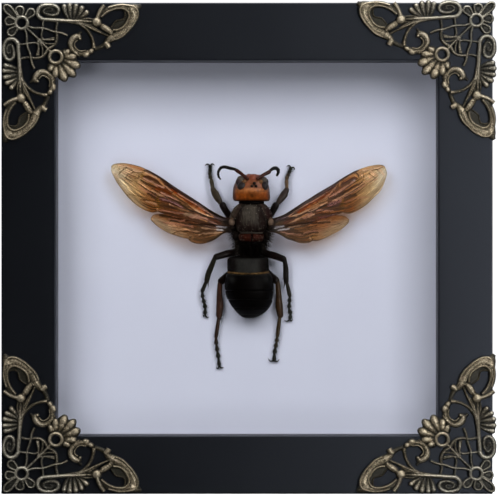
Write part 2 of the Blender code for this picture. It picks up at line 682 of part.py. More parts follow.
def add_head(chitin):
    """Seen from above, with a kidney-shaped eye on each side and the jaws below the front."""
    stations = [(6.7, 0.15, 3.9, 5.0, 9.2), (7.3, 0.15, 4.7, 3.6, 10.2), (8.8, 0.15, 4.95, 2.8, 10.9),
                (10.6, 0.15, 4.9, 2.2, 10.9), (12.2, 0.15, 4.1, 1.8, 10.2), (13.3, 0.1, 2.7, 1.9, 9.0),
                (14.0, -0.1, 1.3, 3.2, 7.6)]
    head = add_body_part("head", stations, 12, chitin)
    for side in (-1, 1):
        eye = ellipsoid((0.15 + side * 3.2, 11.3, 6.6), (1.85, 1.75, 3.9), chitin, f"eye_{side}", 8)
        jaw = ellipsoid((0.15 + side * 1.4, 12.6, 2.1), (1.5, 1.2, 1.7), chitin, f"jaw_{side}", 6)
        join_by_boolean(head, eye)
        join_by_boolean(head, jaw)


def add_thorax(chitin):
    """Collar, back and tail of the thorax down to the narrow waist."""
    stations = [(6.3, 0.0, 1.7, 5.2, 8.4), (5.9, 0.0, 3.3, 4.2, 9.4), (4.6, 0.0, 4.9, 3.2, 10.6),
                (2.4, 0.0, 5.9, 2.7, 11.6), (0.2, 0.0, 5.9, 2.6, 12.0), (-2.2, 0.0, 5.4, 2.6, 11.8),
                (-4.4, -0.1, 4.9, 2.8, 10.8), (-6.4, -0.2, 4.0, 3.2, 9.4), (-7.8, -0.3, 3.3, 3.6, 8.2),
                (-8.35, -0.4, 2.6, 4.2, 7.4)]
    add_body_part("thorax", stations, 16, chitin)


def add_gaster(chitin):
    """Blunt first ring, a slight waist at the pale band, and a round tail."""
    stations = [(-8.7, -0.8, 3.6, 3.4, 8.8), (-9.1, -0.85, 4.9, 2.3, 9.9),
                (-10.3, -0.85, 5.3, 1.7, 10.6), (-12.4, -0.8, 5.75, 1.3, 11.0),
                (-13.4, -0.7, 6.35, 1.0, 11.2), (-16.3, -0.5, 6.6, 0.5, 11.3),
                (-19.2, -0.4, 6.3, 0.5, 10.8), (-20.9, -0.2, 5.55, 0.6, 9.9),
                (-23.1, 0.0, 3.8, 1.0, 8.0), (-24.6, 0.0, 2.1, 1.6, 6.0), (-25.3, 0.0, 0.8, 2.4, 4.4)]
    add_body_part("gaster", stations, 16, chitin)


def add_limb(name, route, material):
    """A leg or feeler: a jointed tube through (x, z, height, radius) points."""
    rings = []
    for i, (x, z, height, radius) in enumerate(route):
        before = route[max(i - 1, 0)]
        after = route[min(i + 1, len(route) - 1)]
        along = Vector([after[k] - before[k] for k in range(3)]).normalized()
        side = along.cross(Vector((0, 0, 1))).normalized()
        up = side.cross(along)
        ring = []
        for step in range(LIMB_SIDES):
            angle = 2 * math.pi * (step + 0.5) / LIMB_SIDES
            offset = (side * math.cos(angle) + up * math.sin(angle)) * radius
            ring.append(on_hornet(x + offset.x, z + offset.y, height + offset.z))
        rings.append(ring)
    limb = bmesh.new()
    skin_rings(limb, rings)
    return add_object(name, limb, material, 50)


def foot_joints(stops, height):
    """Points of a foot: each joint is narrow at its start and wide near its end."""
    points = []
    count = len(stops) - 1
    for i in range(count):
        (x0, z0), (x1, z1) = stops[i], stops[i + 1]
        for along, radius in ((NARROW_AT, FOOT_RADIUS * 0.6), (WIDE_AT, FOOT_RADIUS)):
            sunk = height + (FOOT_HEIGHT - height) * (i + along) / count
            points.append((x0 + (x1 - x0) * along, z0 + (z1 - z0) * along, sunk, radius))
    return points


def add_legs(chitin):
    """Each leg: hip, thigh, knee, shin, jointed foot and a claw that bends aside."""
    for name, upper, stops, claw in LEGS:
        shin_end = upper[-1][2]
        route = upper + foot_joints(stops, shin_end)
        route.append((*claw, CLAW_HEIGHT, CLAW_RADIUS))
        add_limb(name, route, chitin)


def add_feelers(chitin):
    for name, route in FEELERS:
        add_limb(name, route, chitin)


def wing_folds(root, tips, pleat):
    """Fold lines from the root towards the tips, each with its rise, up and down in turn."""
    folds = []
    for i, tip in enumerate(tips):
        line = [(root[0] + (tip[0] - root[0]) * t, root[1] + (tip[1] - root[1]) * t) for t in FOLD_STOPS]
        folds.append((-pleat if i % 2 else pleat, line))
    return folds


def add_wing(name, outline, folds, root_height, membrane):
    """A thin wing that droops away from the thorax, pleated along its folds."""
    root = min(abs(x) for x, _ in outline)

    def middle(x, z):
        level = root_height - WING_DROOP * (abs(x) - root)
        for rise, line in folds:
            if min(math.dist((x, z), stop) for stop in line) < MERGE:
                return level + rise
        return level

    def low(x, z):
        return middle(x, z) - WING_THICK / 2

    def high(x, z):
        return middle(x, z) + WING_THICK / 2

    lines = [line for _, line in folds]
    add_object(name, build_plate([outline], lines, low, high, on_hornet), membrane)


def add_wings(membrane):
    fore, hind = FOREWING_ROOT_HEIGHT, HINDWING_ROOT_HEIGHT
    for name, outline, folds, pleat, height in (
            ("forewing_left", FOREWING_LEFT, FORE_FOLDS_LEFT, FOREWING_PLEAT, fore),
            ("hindwing_left", HINDWING_LEFT, HIND_FOLDS_LEFT, HINDWING_PLEAT, hind),
            ("forewing_right", FOREWING_RIGHT, FORE_FOLDS_RIGHT, FOREWING_PLEAT, fore),
            ("hindwing_right", HINDWING_RIGHT, HIND_FOLDS_RIGHT, HINDWING_PLEAT, hind)):
        add_wing(name, outline, wing_folds(*folds, pleat), height, membrane)


def build():
    clear_scene()
    black_paint = make_material("black_paint", (0.012, 0.012, 0.014), 0.4)
    glass = make_material("clear_glass", (0.9, 0.95, 0.95), 0.02)
    card = make_material("pale_card", (0.62, 0.66, 0.78), 0.8)
    board = make_material("brown_board", (0.28, 0.18, 0.1), 0.85)
    steel = make_material("plated_steel", (0.55, 0.55, 0.55), 0.35, 1.0)
    brass = make_material("antique_brass", (0.2, 0.18, 0.13), 0.45, 0.9)
    dark_chitin = make_material("dark_chitin", (0.02, 0.015, 0.012), 0.45)
    orange_chitin = make_material("orange_chitin", (0.35, 0.11, 0.03), 0.4)
    brown_chitin = make_material("brown_chitin", (0.05, 0.025, 0.015), 0.45)
    membrane = make_material("amber_membrane", (0.28, 0.15, 0.06), 0.35)

    add_rails(black_paint)
    add_filling(glass, black_paint, card, board)
    add_turn_buttons(steel)
    add_wall_hanger(steel)
    add_ornaments(brass)
    add_head(orange_chitin)
    add_thorax(dark_chitin)
    add_gaster(dark_chitin)
    add_feelers(brown_chitin)
    add_wings(membrane)
    add_legs(brown_chitin)


build()
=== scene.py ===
import math

import bmesh
import bpy
import numpy as np
from mathutils import Matrix, Vector, noise


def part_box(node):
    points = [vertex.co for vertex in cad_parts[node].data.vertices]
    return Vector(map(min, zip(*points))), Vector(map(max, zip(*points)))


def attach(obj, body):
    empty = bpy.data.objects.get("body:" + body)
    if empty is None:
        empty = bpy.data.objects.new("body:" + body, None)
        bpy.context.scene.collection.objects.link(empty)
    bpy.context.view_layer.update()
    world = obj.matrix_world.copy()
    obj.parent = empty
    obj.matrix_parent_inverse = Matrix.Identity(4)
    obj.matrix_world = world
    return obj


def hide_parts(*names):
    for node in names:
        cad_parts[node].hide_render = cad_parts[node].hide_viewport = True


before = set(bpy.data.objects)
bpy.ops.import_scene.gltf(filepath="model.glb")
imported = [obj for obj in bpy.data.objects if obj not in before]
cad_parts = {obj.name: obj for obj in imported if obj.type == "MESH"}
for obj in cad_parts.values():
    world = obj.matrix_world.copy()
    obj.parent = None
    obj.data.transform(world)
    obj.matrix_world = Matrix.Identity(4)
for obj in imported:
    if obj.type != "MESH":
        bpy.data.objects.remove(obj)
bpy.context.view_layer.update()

# ---------------------------------------------------------------- rails
# Four lengths of flat wooden moulding, rebated behind the front lip, mitred and glued into a
# square. They are sprayed with black satin paint, which shows the grain only as faint ripples.

MM = 0.001


def deselect_all():
    if bpy.context.mode != "OBJECT":
        bpy.ops.object.mode_set(mode="OBJECT")
    bpy.ops.object.select_all(action="DESELECT")


def pick(piece):
    deselect_all()
    piece.select_set(True)
    bpy.context.view_layer.objects.active = piece


def start_edit(piece):
    pick(piece)
    bpy.ops.object.mode_set(mode="EDIT")


def select_all():
    bpy.ops.mesh.select_all(action="SELECT")


def leave_edit():
    bpy.ops.object.mode_set(mode="OBJECT")


def select_where(kind, test):
    """Selects the faces or edges of the mesh in hand whose centre and normal pass the test."""
    bpy.ops.mesh.select_all(action="DESELECT")
    bpy.ops.mesh.select_mode(type=kind)
    mesh = bmesh.from_edit_mesh(bpy.context.object.data)
    for part in mesh.faces if kind == "FACE" else mesh.edges:
        if kind == "FACE":
            part.select_set(test(part.calc_center_median(), part.normal))
        else:
            a, b = (v.co for v in part.verts)
            part.select_set(test((a + b) / 2, (b - a).normalized()))
    bmesh.update_edit_mesh(bpy.context.object.data)


def fix_place():
    """Moves the place, turn and scale of the piece in hand into its mesh."""
    bpy.ops.object.transform_apply(location=True, rotation=True, scale=True)


def apply_modifier(piece, kind, **settings):
    pick(piece)
    modifier = piece.modifiers.new(kind.lower(), kind)
    for name, value in settings.items():
        setattr(modifier, name, value)
    bpy.ops.object.modifier_apply(modifier=modifier.name)


def settle(piece, name, smooth_degrees):
    """Ends the work on a piece: its place goes into its mesh, and it gets its name."""
    pick(piece)
    fix_place()
    bpy.ops.object.shade_smooth_by_angle(angle=math.radians(smooth_degrees))
    piece.name = name
    piece.data.name = name
    return piece


def coat(piece, material):
    """Gives the piece this material and no other."""
    piece.data.materials.clear()
    piece.data.materials.append(material)


def fit(piece, node, material):
    """Coats a finished piece and puts it in the place of its node."""
    coat(piece, material)
    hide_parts(node)
    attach(piece, "root")


def plug(material, node, inputs):
    """Links each input of a node to an output, or sets it to a value."""
    for socket, value in dict(inputs).items():
        if isinstance(value, bpy.types.NodeSocket):
            material.node_tree.links.new(value, node.inputs[socket])
        else:
            node.inputs[socket].default_value = value


def add_node(material, kind, inputs=(), **settings):
    node = material.node_tree.nodes.new("ShaderNode" + kind)
    for name, value in settings.items():
        setattr(node, name, value)
    plug(material, node, inputs)
    return node


def set_shader(material, inputs):
    plug(material, material.node_tree.nodes["Principled BSDF"], inputs)


def new_material(name):
    """A material and the place of each point on its piece, in metres."""
    material = bpy.data.materials.new(name)
    material.use_nodes = True
    return material, add_node(material, "TexCoord").outputs["Object"]


def stretched(material, place, stretch):
    return add_node(material, "Mapping", {"Vector": place, "Scale": stretch}).outputs["Vector"]


def grain(material, place, scale, detail, roughness=0.5):
    """Noise with about `scale` lumps to the metre, from 0 to 1."""
    return add_node(material, "TexNoise", {"Vector": place, "Scale": scale, "Detail": detail,
                                           "Roughness": roughness}).outputs["Fac"]


def tones(material, factor, *stops):
    """A colour ramp through (position, colour) stops."""
    ramp = add_node(material, "ValToRGB", {"Fac": factor})
    for i, (position, colour) in enumerate(stops):
        stop = ramp.color_ramp.elements[i] if i < 2 else ramp.color_ramp.elements.new(position)
        stop.position = position
        stop.color = (*colour, 1.0)
    return ramp.outputs["Color"]


def level(material, factor, low, high, from_low=0.0, from_high=1.0):
    return add_node(material, "MapRange", {"Value": factor, "From Min": from_low, "From Max": from_high,
                                           "To Min": low, "To Max": high}).outputs["Result"]


def computed(material, operation, *values):
    """One sum on one or two values."""
    return add_node(material, "Math", dict(enumerate(values)), operation=operation).outputs[0]


def blended(material, factor, colour, other, way="MIX"):
    return add_node(material, "MixRGB", {"Fac": factor, "Color1": colour, "Color2": other},
                    blend_type=way).outputs["Color"]


def relief(material, height, depth, strength, under=None):
    """A bump whose full height is `depth` metres."""
    inputs = {"Height": height, "Distance": depth, "Strength": strength}
    if under is not None:
        inputs["Normal"] = under
    return add_node(material, "Bump", inputs).outputs["Normal"]


def satin_black_paint(name, along):
    """Black paint over grain that runs along X (0) or Z (2)."""
    material, place = new_material(name)
    stretch = (0.06, 1.0, 1.0) if along == 0 else (1.0, 1.0, 0.06)
    fibres = grain(material, stretched(material, place, stretch), 1500, 4)
    orange_peel = grain(material, place, 2600, 2)
    cloud = grain(material, place, 45, 2)
    specks = grain(material, place, 5200, 1)
    dust = tones(material, specks, (0.70, (0, 0, 0)), (0.78, (1, 1, 1)))
    tone = tones(material, cloud, (0.3, (0.0017, 0.0019, 0.0026)), (0.75, (0.0028, 0.0031, 0.0039)))
    dusty = blended(material, level(material, dust, 0.0, 0.008), tone, (0.35, 0.36, 0.38, 1))
    bump = relief(material, fibres, 0.00002, 0.35)
    bump = relief(material, orange_peel, 0.00001, 0.3, bump)
    set_shader(material, {"Base Color": dusty, "Roughness": level(material, cloud, 0.42, 0.5),
                          "Normal": bump, "Specular IOR Level": 0.5,
                          "Specular Tint": (0.74, 0.82, 1.0, 1)})
    return material


LIP_DEPTH = 3 * MM
REBATE = 5 * MM
WORN_EDGE = 0.45 * MM


def make_rail(name, turn, width, neighbour, paint):
    """Models the top rail with bpy operators, then turns it by quarter turns to its side."""
    low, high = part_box("rail_top")
    left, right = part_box("rail_left")[0].x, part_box("rail_right")[1].x
    half = (right - left) / 2
    centre = Vector(((left + right) / 2, 0.0, high.z - half))
    body = width - REBATE
    deselect_all()
    bpy.ops.mesh.primitive_cube_add(size=1, location=(0, 0, half - body / 2),
                                    scale=(2 * half, high.y - low.y, body))
    rail = bpy.context.object
    fix_place()
    start_edit(rail)
    select_all()
    bpy.ops.mesh.bisect(plane_co=(0, low.y + LIP_DEPTH, 0), plane_no=(0, 1, 0))
    select_where("FACE", lambda at, normal: normal.z < -0.9 and at.y < low.y + LIP_DEPTH)
    bpy.ops.mesh.extrude_region_move(TRANSFORM_OT_translate={"value": (0, 0, -REBATE)})
    for side in (-1, 1):
        select_all()
        bpy.ops.mesh.bisect(plane_co=(side * half, 0, half), plane_no=(side * width, 0, -neighbour),
                            clear_outer=True, use_fill=True)
    select_where("EDGE", lambda at, along: abs(along.x) > 0.9)
    bpy.ops.mesh.bevel(offset=WORN_EDGE, segments=3)
    leave_edit()
    rail.rotation_euler = (0, -math.pi / 2 * turn, 0)
    fix_place()
    rail.location = centre
    settle(rail, "painted_" + name, 40)
    apply_modifier(rail, "WEIGHTED_NORMAL", keep_sharp=True)
    fit(rail, name, paint)


level_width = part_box("rail_top")[1].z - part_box("rail_top")[0].z
side_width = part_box("rail_left")[1].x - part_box("rail_left")[0].x
paint_level = satin_black_paint("satin_black_paint_level", 0)
paint_side = satin_black_paint("satin_black_paint_side", 2)
for turn, side in enumerate(("top", "left", "bottom", "right")):
    if turn % 2:
        make_rail("rail_" + side, turn, side_width, level_width, paint_side)
    else:
        make_rail("rail_" + side, turn, level_width, side_width, paint_level)

# ---------------------------------------------------------------- spacers
# Wooden strips painted like the rails. They stand in the rebate behind the glass and hold the
# card away from it; from the front they are the dark inner walls of the case.

for side in ("top", "bottom", "left", "right"):
    coat(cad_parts["spacer_" + side], paint_level if side in ("top", "bottom") else paint_side)

# ---------------------------------------------------------------- glass
# A pane of clear float glass, cut to the rebate and held behind the lip. It is clean, and light
# goes through it unhindered, so only the camera's own ray sees its two faces.

clear_glass = new_material("clear_float_glass")[0]
set_shader(clear_glass, {"Base Color": (0.985, 0.995, 0.99, 1), "Roughness": 0.0, "IOR": 1.5,
                         "Transmission Weight": 1.0})
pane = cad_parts["glass_pane"]
coat(pane, clear_glass)
pane.visible_shadow = False
pane.visible_diffuse = False
pane.visible_glossy = False

# ---------------------------------------------------------------- card
# Matte bluish-white card behind the insect. Its surface has the fine tooth and the faint
# clouding of uncoated board.

card_white, place = new_material("bluish_white_card")
fibres = grain(card_white, stretched(card_white, place, (1.0, 1.0, 0.45)), 5200, 4, 0.6)
cloud = grain(card_white, place, 60, 3)
tone = tones(card_white, cloud, (0.3, (0.700, 0.722, 0.872)), (0.7, (0.722, 0.745, 0.892)))
set_shader(card_white, {"Base Color": tone, "Roughness": 0.85, "Specular IOR Level": 0.25,
                        "Normal": relief(card_white, fibres, 0.00004, 0.3)})
coat(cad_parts["backing_card"], card_white)

# ---------------------------------------------------------------- back board
# A sheet of brown hardboard that closes the case behind the card. Its pressed fibres show as
# long dark and pale flecks, and the face is rubbed a little shiny.

hardboard, place = new_material("brown_hardboard")
flecks = grain(hardboard, stretched(hardboard, place, (1.0, 1.0, 0.25)), 2600, 5, 0.65)
cloud = grain(hardboard, place, 70, 3)
tone = tones(hardboard, flecks, (0.32, (0.10, 0.052, 0.022)), (0.5, (0.20, 0.115, 0.055)),
             (0.7, (0.33, 0.21, 0.11)))
tone = blended(hardboard, level(hardboard, cloud, 0.1, 0.6), tone, (0.17, 0.095, 0.045, 1))
set_shader(hardboard, {"Base Color": tone, "Roughness": level(hardboard, flecks, 0.55, 0.8),
                       "Normal": relief(hardboard, flecks, 0.00006, 0.6)})
coat(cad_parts["back_board"], hardboard)

# ---------------------------------------------------------------- turn buttons and wall hanger
# Stamped steel plates on the back, nickel plated. Each button turns on one pan-head screw in the
# rail and holds the board; the toothed strip takes a nail in the wall and is held by two nails.

plated, place = new_material("plated_steel")
brushed = grain(plated, stretched(plated, place, (0.15, 1.0, 1.0)), 9000, 3)
tarnish = grain(plated, place, 420, 4, 0.6)
tone = tones(plated, tarnish, (0.3, (0.30, 0.29, 0.27)), (0.6, (0.56, 0.55, 0.53)))
set_shader(plated, {"Base Color": tone, "Metallic": 1.0, "Roughness": level(plated, tarnish, 0.45, 0.26),
                    "Normal": relief(plated, brushed, 0.000008, 0.4)})


def draw_curve(kind, points, closed, radii=None, filled=False):
    """A curve with one line through the points, smooth (BEZIER) or straight (POLY)."""
    deselect_all()
    bpy.ops.curve.primitive_bezier_curve_add(location=(0, 0, 0))
    piece = bpy.context.object
    curve = piece.data
    curve.dimensions = "2D" if filled else "3D"
    if filled:
        curve.fill_mode = "BOTH"
    curve.splines.clear()
    line = curve.splines.new(kind)
    stops = line.bezier_points if kind == "BEZIER" else line.points
    stops.add(len(points) - 1)
    for i, (stop, point) in enumerate(zip(stops, points)):
        stop.co = point if kind == "BEZIER" else (*point, 1.0)
        stop.radius = radii[i] if radii else 1.0
        if kind == "BEZIER":
            stop.handle_left_type = stop.handle_right_type = "AUTO"
    line.use_cyclic_u = closed
    line.resolution_u = 5
    return piece


def to_mesh(piece):
    pick(piece)
    bpy.ops.object.convert(target="MESH")
    return bpy.context.object


def cut_plate(outline, thick, edge):
    """A stamped plate from an outline, upright, its front face on Y 0 and its edges rounded."""
    shape = draw_curve("POLY", [(x, z, 0.0) for x, z in outline], True, filled=True)
    shape.data.extrude = thick / 2 - edge
    shape.data.bevel_depth = edge
    shape.data.bevel_resolution = 1
    shape.data.offset = -edge
    plate = to_mesh(shape)
    plate.matrix_world = Matrix(((1, 0, 0, 0), (0, 0, -1, thick / 2), (0, 1, 0, 0), (0, 0, 0, 1)))
    fix_place()
    return plate


def make_screw_head(place, radius, rise, slotted):
    """A domed head whose underside is at `place`; a cross slot is pressed into a screw's."""
    deselect_all()
    bpy.ops.mesh.primitive_cylinder_add(vertices=32, radius=radius, depth=rise, location=(0, 0, rise / 2))
    head = bpy.context.object
    fix_place()
    start_edit(head)
    select_where("FACE", lambda at, normal: normal.z > 0.9)
    bpy.ops.mesh.inset(thickness=radius * 0.28)
    bpy.ops.transform.translate(value=(0, 0, rise * 0.35))
    bpy.ops.mesh.inset(thickness=radius * 0.3)
    bpy.ops.transform.translate(value=(0, 0, rise * 0.1))
    leave_edit()
    apply_modifier(head, "BEVEL", width=rise * 0.16, segments=2, limit_method="ANGLE", angle_limit=0.5)
    if slotted:
        for turn in (0.4, 0.4 + math.pi / 2):
            deselect_all()
            bpy.ops.mesh.primitive_cube_add(size=1, location=(0, 0, rise * 1.3), rotation=(0, 0, turn),
                                            scale=(radius * 1.15, radius * 0.22, rise * 1.1))
            cutter = bpy.context.object
            apply_modifier(cutter, "BEVEL", width=radius * 0.04, segments=1)
            apply_modifier(head, "BOOLEAN", object=cutter, operation="DIFFERENCE", solver="EXACT")
            bpy.data.objects.remove(cutter)
    head.matrix_world = Matrix.Translation(place) @ Matrix.Rotation(-math.pi / 2, 4, "X")
    pick(head)
    fix_place()
    return head


def join_pieces(pieces):
    deselect_all()
    for piece in pieces:
        piece.select_set(True)
    bpy.context.view_layer.objects.active = pieces[0]
    bpy.ops.object.join()
    return bpy.context.object


BACK_Y = 12.5 * MM
PLATE_THICK = 1.15 * MM
HEAD_ON_PLATE = BACK_Y + PLATE_THICK - 0.05 * MM
HEAD_RADIUS, HEAD_RISE = 1.9 * MM, 0.315 * MM
RIB_WIDTH, RIB_THICK = 1.1 * MM, 0.5 * MM


def make_turn_button(side, screw_out):
    """Half-round ends, a raised lengthwise rib, and the screw at the end on the rail."""
    low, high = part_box("turn_button_" + side)
    centre = (low + high) / 2
    size = high - low
    upright = size.z > size.x
    length, width = max(size.x, size.z), min(size.x, size.z)
    straight = (length - width) / 2
    outline = []
    for end in (1, -1):
        for i in range(17):
            angle = math.pi * (i / 16 - 0.5)
            outline.append((end * (straight + width / 2 * math.cos(angle)),
                            end * width / 2 * math.sin(angle)))
    if upright:
        outline = [(z, x) for x, z in reversed(outline)]
    plate = cut_plate(outline, PLATE_THICK, 0.18 * MM)
    plate.location = (centre.x, BACK_Y, centre.z)
    out = screw_out * straight
    place = Vector((centre.x, HEAD_ON_PLATE, centre.z))
    screw = place + (Vector((0, 0, out)) if upright else Vector((out, 0, 0)))
    rib_at = place - (screw - place) * 0.35
    deselect_all()
    bpy.ops.mesh.primitive_cube_add(size=1, location=rib_at, scale=(
        RIB_WIDTH if upright else length / 2, RIB_THICK, length / 2 if upright else RIB_WIDTH))
    rib = bpy.context.object
    bpy.ops.object.transform_apply(location=False, rotation=False, scale=True)
    apply_modifier(rib, "BEVEL", width=0.24 * MM, segments=3)
    button = join_pieces([plate, rib, make_screw_head(screw, HEAD_RADIUS, HEAD_RISE, True)])
    settle(button, "steel_turn_button_" + side, 35)
    fit(button, "turn_button_" + side, plated)


for side, screw_out in (("top", 1), ("bottom", -1), ("left", -1), ("right", 1)):
    make_turn_button(side, screw_out)

low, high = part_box("wall_hanger")
hanger_half, hanger_high = (high.x - low.x) / 2, (high.z - low.z) / 2
toothed_half, tooth_pitch, tooth_depth = hanger_half - 2 * hanger_high, 3.5 * MM, 1.8 * MM
outline = [(hanger_half, -hanger_high), (hanger_half, hanger_high), (-hanger_half, hanger_high),
           (-hanger_half, -hanger_high), (-toothed_half, -hanger_high)]
for i in range(int(2 * toothed_half / tooth_pitch)):
    start = -toothed_half + i * tooth_pitch
    outline += [(start + tooth_pitch / 2, tooth_depth - hanger_high), (start + tooth_pitch, -hanger_high)]
plate = cut_plate(outline, PLATE_THICK, 0.15 * MM)
centre = (low + high) / 2
plate.location = (centre.x, BACK_Y, centre.z)
parts = [plate]
for side in (-1, 1):
    nail = Vector((centre.x + side * (hanger_half - hanger_high), HEAD_ON_PLATE, centre.z))
    parts.append(make_screw_head(nail, HEAD_RADIUS, HEAD_RISE, False))
hanger = settle(join_pieces(parts), "toothed_wall_hanger", 35)
fit(hanger, "wall_hanger", plated)

# ---------------------------------------------------------------- corner ornaments
# Four die-cast filigree corners glued on the front of the rails, in white metal plated as antique
# brass: black-olive patina in the hollows, and the crests of the strands rubbed to a warm gold.

# The casting is drawn in millimetres from its corner: u along the level rail, v along the side
# rail, and the height above the rail last. The two arms are alike on both sides of the diagonal.
casting = []
STRAND_FULLNESS = 1.3
MELT_GRAIN = 0.12
SHRINKAGE = 0.9936
KEPT_SHARE = 0.36


def cast_strand(route, widths, crest, closed=False, both=True):
    """A ridge along a route, up to `crest` high where it is widest, and the same on the other arm."""
    if isinstance(widths, (int, float)):
        widths = [widths] * len(route)
    fullest = STRAND_FULLNESS * max(widths)
    for swapped in (False, True) if both else (False,):
        points = [(v, u, 0.0) if swapped else (u, v, 0.0) for u, v in route]
        strand = draw_curve("BEZIER", points, closed, [width / max(widths) for width in widths])
        strand.data.bevel_depth = fullest / 2
        strand.data.bevel_resolution = 2
        strand.data.use_fill_caps = True
        tube = to_mesh(strand)
        tube.scale = (1, 1, crest / (fullest / 2))
        fix_place()
        casting.append(tube)


def cast_pad(centre, reach, crest, turn=0.0, both=True):
    """A rounded knob or lobe, `reach` mm along and across from its centre."""
    for swapped in (False, True) if both else (False,):
        at = (centre[1], centre[0], 0) if swapped else (*centre, 0)
        angle = 90 - turn if swapped else turn
        deselect_all()
        bpy.ops.mesh.primitive_uv_sphere_add(segments=20, ring_count=12, radius=1, location=at,
                                             rotation=(0, 0, math.radians(angle)),
                                             scale=(reach[0], reach[1], crest))
        fix_place()
        casting.append(bpy.context.object)


def cast_plate(outline, height):
    """Thin flash left between strands."""
    for swapped in (False, True):
        points = [(v, u, 0.0) if swapped else (u, v, 0.0) for u, v in outline]
        sheet = draw_curve("BEZIER", points, True, filled=True)
        sheet.data.extrude = height
        casting.append(to_mesh(sheet))


def around(centre, angle, reach, aside=0.0):
    """The point `reach` mm out from a centre at an angle, and `aside` mm to the side of that line."""
    out_u, out_v = math.cos(math.radians(angle)), math.sin(math.radians(angle))
    return centre[0] + reach * out_u - aside * out_v, centre[1] + reach * out_v + aside * out_u


# Flower in the very corner: a ring, and five open petals with thin rims over a low floor
flower = (5.3, 5.3)
PETAL_ROOT = 1.7
cast_strand([around(flower, 30 * i, 1.62) for i in range(12)], 0.84, 1.6, closed=True, both=False)
for angle, reach, half in ((225, 6.7, 0.95), (188, 4.6, 1.05), (262, 4.6, 1.05), (138, 4.9, 0.95),
                           (312, 4.9, 0.95)):
    long = reach - PETAL_ROOT
    side = [(PETAL_ROOT, 0.35), (PETAL_ROOT + long * 0.4, half * 0.85), (PETAL_ROOT + long * 0.72, half),
            (reach - 0.2, 0.3)]
    rim = [around(flower, angle, out, -aside) for out, aside in side]
    rim += [around(flower, angle, out, aside) for out, aside in reversed(side)]
    cast_strand(rim, 0.6, 1.35, both=False)
    cast_strand([around(flower, angle, 1.9), around(flower, angle, reach * 0.62)], [0.36, 0.24], 0.8,
                both=False)
    cast_pad(around(flower, angle, (PETAL_ROOT + reach) / 2), (long / 2, half), 0.6, angle, both=False)

# Web of thin strands between the flower and the shell
cast_strand([(6.4, 6.4), (9.9, 9.8), (13.4, 13.4)], [0.66, 0.6, 0.7], 1.3, both=False)
cast_strand([(6.9, 6.2), (8.4, 6.65), (11.2, 6.8), (14.1, 7.7), (16.2, 8.1), (17.8, 8.8)], 0.62, 1.3)
cast_strand([(11.25, 4.5), (11.0, 6.8), (11.0, 9.6), (12.0, 9.95), (14.2, 9.85)], 0.56, 1.2)
cast_strand([(15.2, 4.7), (14.7, 6.9), (14.9, 9.6), (14.3, 11.2), (12.5, 12.4)],
            [0.7, 0.66, 0.72, 0.72, 0.8], 1.2)
cast_strand([(9.6, 9.7), (9.9, 11.4), (9.4, 14.3)], [0.5, 0.55, 0.55], 1.15)
cast_strand([(9.7, 9.6), (11.9, 10.9), (14.6, 11.0)], 0.5, 1.1)
for knot in ((11.1, 6.8), (14.6, 7.8), (14.8, 9.8)):
    cast_pad(knot, (0.5, 0.42), 1.0)

# Shell: a ring and a fan of seven lobes in two rows, over the corner of the opening
shell = (14.6, 14.6)
cast_strand([around(shell, 30 * i, 1.68) for i in range(12)], 0.88, 1.65, closed=True, both=False)
for step in range(-3, 4):
    angle = 45 + step * 23
    reach = (7.4, 7.0, 5.6, 4.2)[abs(step)]
    half = (1.4, 1.5, 1.25, 1.0)[abs(step)]
    split = 1.9 + (reach - 1.9) * 0.5
    cast_pad(around(shell, angle, (1.6 + reach) / 2), ((reach - 1.6) / 2, half * 1.22), 0.72, angle,
             both=False)
    cast_strand([around(shell, angle, 2.0), around(shell, angle, split - 0.4), around(shell, angle, split)],
                [0.7, 1.5, 1.45], 1.4, both=False)
    cast_pad(around(shell, angle, (split + reach) / 2 - 0.2), ((reach - split) / 2 + 0.5, half * 0.84), 1.5,
             angle, both=False)

# Scroll beside the flower, the bar that runs on from it, and the palmette that stands on the bar
cast_strand([(10.9, 4.25), (9.95, 3.5), (9.7, 2.1), (10.5, 0.9), (12.3, 0.42), (14.3, 0.7), (15.35, 1.7),
             (15.1, 2.75), (13.9, 3.2), (12.3, 3.0), (11.3, 2.3), (11.6, 1.6), (12.6, 1.3), (13.6, 1.6),
             (13.4, 2.15), (12.8, 2.25)],
            [1.05, 1.05, 1.0, 0.95, 0.95, 0.95, 0.92, 0.88, 0.82, 0.78, 0.7, 0.68, 0.66, 0.66, 0.6, 0.5],
            1.5)
cast_pad((12.6, 1.9), (2.6, 1.4), 0.5)
cast_strand([(10.6, 4.3), (13.2, 4.45), (15.8, 4.65), (21.1, 4.85), (25.0, 5.0)],
            [0.95, 1.0, 1.0, 0.9, 0.6], 1.45)
cast_strand([(15.5, 4.95), (18.6, 5.25), (21.6, 5.75), (24.8, 5.75)], [0.4, 0.5, 0.5, 0.4], 1.1)
cast_strand([(21.0, 4.6), (23.2, 4.15), (25.0, 4.35)], [0.5, 0.55, 0.4], 1.1)
for root_u, tip, bend in ((18.0, (16.9, 0.9), -0.5), (18.7, (18.4, 0.55), -0.2), (19.4, (20.1, 0.7), 0.1),
                          (20.0, (21.7, 1.3), 0.4), (20.5, (23.0, 2.5), 0.5)):
    middle = ((root_u + tip[0]) / 2 + bend * 0.4, (4.3 + tip[1]) / 2)
    cast_strand([(root_u, 4.3), middle, tip], [0.6, 1.0, 1.3], 1.4)
    cast_pad(tip, (0.8, 0.8), 1.45)
cast_pad((19.6, 2.7), (3.0, 1.7), 0.5, 8)

